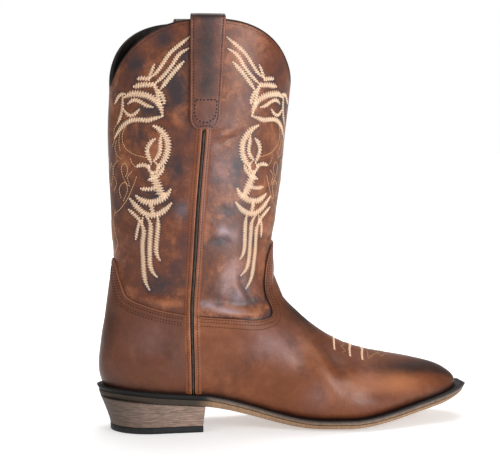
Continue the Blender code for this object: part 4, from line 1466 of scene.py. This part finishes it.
def build_embroidery():
    for name, wanted in (("embroidery_outer", 1), ("embroidery_inner", -1)):
        strokes = []
        lines = []
        for line, normals, width, side in MOTIF:
            if side == wanted and width:
                strokes.append(satin(line, normals, width, STROKE_BLUNT))
            elif side == wanted:
                lines.append(along_row(line, normals, *LINE_STITCH))
        stitches(name, strokes, CREAM_THREAD, "shaft_leather")
        stitches(name + "_lines", lines, LINE_THREAD, "shaft_leather")


def plan_place(x, y):
    """Angles and rings of the upper's top face over places in plan, by repeated straight steps."""
    u = np.full(len(x), math.pi)
    h = np.full(len(x), PLAN_START)
    for _ in range(PLAN_STEPS):
        gap = np.column_stack([x, y]) - upper_point(u, h)[:, :2]
        along, up = upper_slopes(u, h)
        step = np.linalg.solve(np.stack([along[:, :2], up[:, :2]], axis=-1), gap[..., None])[..., 0]
        u = u + np.clip(step[:, 0], -PLAN_TURN_MOST, PLAN_TURN_MOST)
        h = np.clip(h + np.clip(step[:, 1], -PLAN_RING_MOST, PLAN_RING_MOST), *PLAN_RINGS)
    return u, h


def build_toe_stitches():
    bars = []
    lines = []
    face = GAP + OVERLAY_T
    for places in TOE_BARS:
        across = places[::-1] + tuple((x, 2 * TOE_MIDDLE - y) for x, y in places[1:])
        u, h = plan_place(*fine_line(across))
        bars.append(satin(leather_point(u, h, face), upper_normal(u, h), TOE_BAR_W, TOE_BLUNT))
    for places in TOE_LINES:
        x, y = fine_line(places)
        for aside in (y, 2 * TOE_MIDDLE - y):
            u, h = plan_place(x, aside)
            lines.append(surface_row(u, h, face, *TOE_STITCH))
    stitches("toe_bars", bars, CREAM_THREAD, "vamp_leather")
    stitches("toe_lines", lines, TAN_THREAD, "vamp_leather")


# Stage in metres: camera, lights (name, place, target, size, power, colour), floor and world
CAMERA_PLACE = (-0.27904, -1.21805, 0.262)
CAMERA_AIM = (0.20036, 0.97613, -0.08382)
FOCAL_PIXELS = 1539.4
IMAGE_WIDTH = 500
SENSOR_WIDTH = 36.0
LIGHTS = (
    ("right", (0.74, -1.26, 0.4), (0, 0, 0.16), (0.7, 0.85), 16, (0.93, 0.96, 1)),
    ("low", (0.45, -0.85, 0.004), (0.45, -0.85, 1), (0.5, 0.75), 9, (0.86, 0.92, 1)),
    ("left", (-1.2, -0.9, 0.95), (0, 0, 0.16), (1.5, 1.2), 6, (1, 0.94, 0.86)),
    ("top", (0.15, 0.45, 1.4), (0, 0, 0.1), (1.2, 0.9), 12, (1, 1, 1)),
)
WHITE = (1, 1, 1, 1)
FLOOR_GREY = (0.86, 0.86, 0.86, 1)
FLOOR_CORNERS = ((-6, -6, 0), (6, -6, 0), (6, 6, 0), (-6, 6, 0))
FLOOR_GLOW = (0.0, 1.2, 0.42, 0.95)
WORLD_GLOW = (0.75, 0.92, 0.28, 1.0)


def look(aim):
    """Turns that point a light or camera along a direction, with its top up."""
    flat = math.hypot(aim[0], aim[1])
    return (math.atan2(flat, -aim[2]), 0.0, math.atan2(-aim[0], aim[1]))


def add_light(name, position, target, size, power, colour):
    data = bpy.data.lights.new(name, "AREA")
    data.shape = "RECTANGLE"
    data.size, data.size_y = size
    data.energy = power
    data.color = colour
    made = show(name, data)
    made.location = position
    made.rotation_euler = look(np.array(target) - np.array(position))
    made.visible_camera = False


def build_stage():
    """A floor and a world that are lighter towards the back, and the lights."""
    floor = bpy.data.meshes.new("floor")
    floor.from_pydata(FLOOR_CORNERS, [], [(0, 1, 2, 3)])
    finish, tree, shader, where = new_finish("floor")
    glow = span(tree, wire(tree, "ShaderNodeSeparateXYZ", out="Y", Vector=where), *FLOOR_GLOW)
    set_inputs(tree, shader, Base_Color=FLOOR_GREY, Roughness=0.9, Specular_IOR_Level=0.1)
    set_inputs(tree, shader, Emission_Color=WHITE, Emission_Strength=glow)
    floor.materials.append(finish)
    made = show("floor", floor)
    world = bpy.data.worlds.new("studio")
    world.use_nodes = True
    tree = world.node_tree
    toward = wire(tree, "ShaderNodeTexCoord", out="Generated")
    glow = span(tree, wire(tree, "ShaderNodeSeparateXYZ", out="Y", Vector=toward), *WORLD_GLOW)
    set_inputs(tree, tree.nodes["Background"], Color=WHITE, Strength=glow)
    bpy.context.scene.world = world
    for light in LIGHTS:
        add_light(*light)
    bpy.context.scene.view_settings.view_transform = "Standard"


def build_camera():
    data = bpy.data.cameras.new("camera")
    data.sensor_width = SENSOR_WIDTH
    data.lens = FOCAL_PIXELS / IMAGE_WIDTH * SENSOR_WIDTH
    made = show("camera", data)
    made.location = CAMERA_PLACE
    made.rotation_euler = look(CAMERA_AIM)
    bpy.context.scene.camera = made


build_shaft()
build_lining()
build_binding()
build_vamp_and_counter()
build_piping("side_piping_outer", 1)
build_piping("side_piping_inner", -1)
build_strap("pull_strap_outer", 1)
build_strap("pull_strap_inner", -1)
build_welt()
build_outsole()
build_heel()
build_seam_bands()
build_seam_stitches()
build_strap_stitches()
build_embroidery()
build_toe_stitches()
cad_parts["insole"].data.materials.clear()
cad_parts["insole"].data.materials.append(LINING_FINISH)
build_stage()
build_camera()
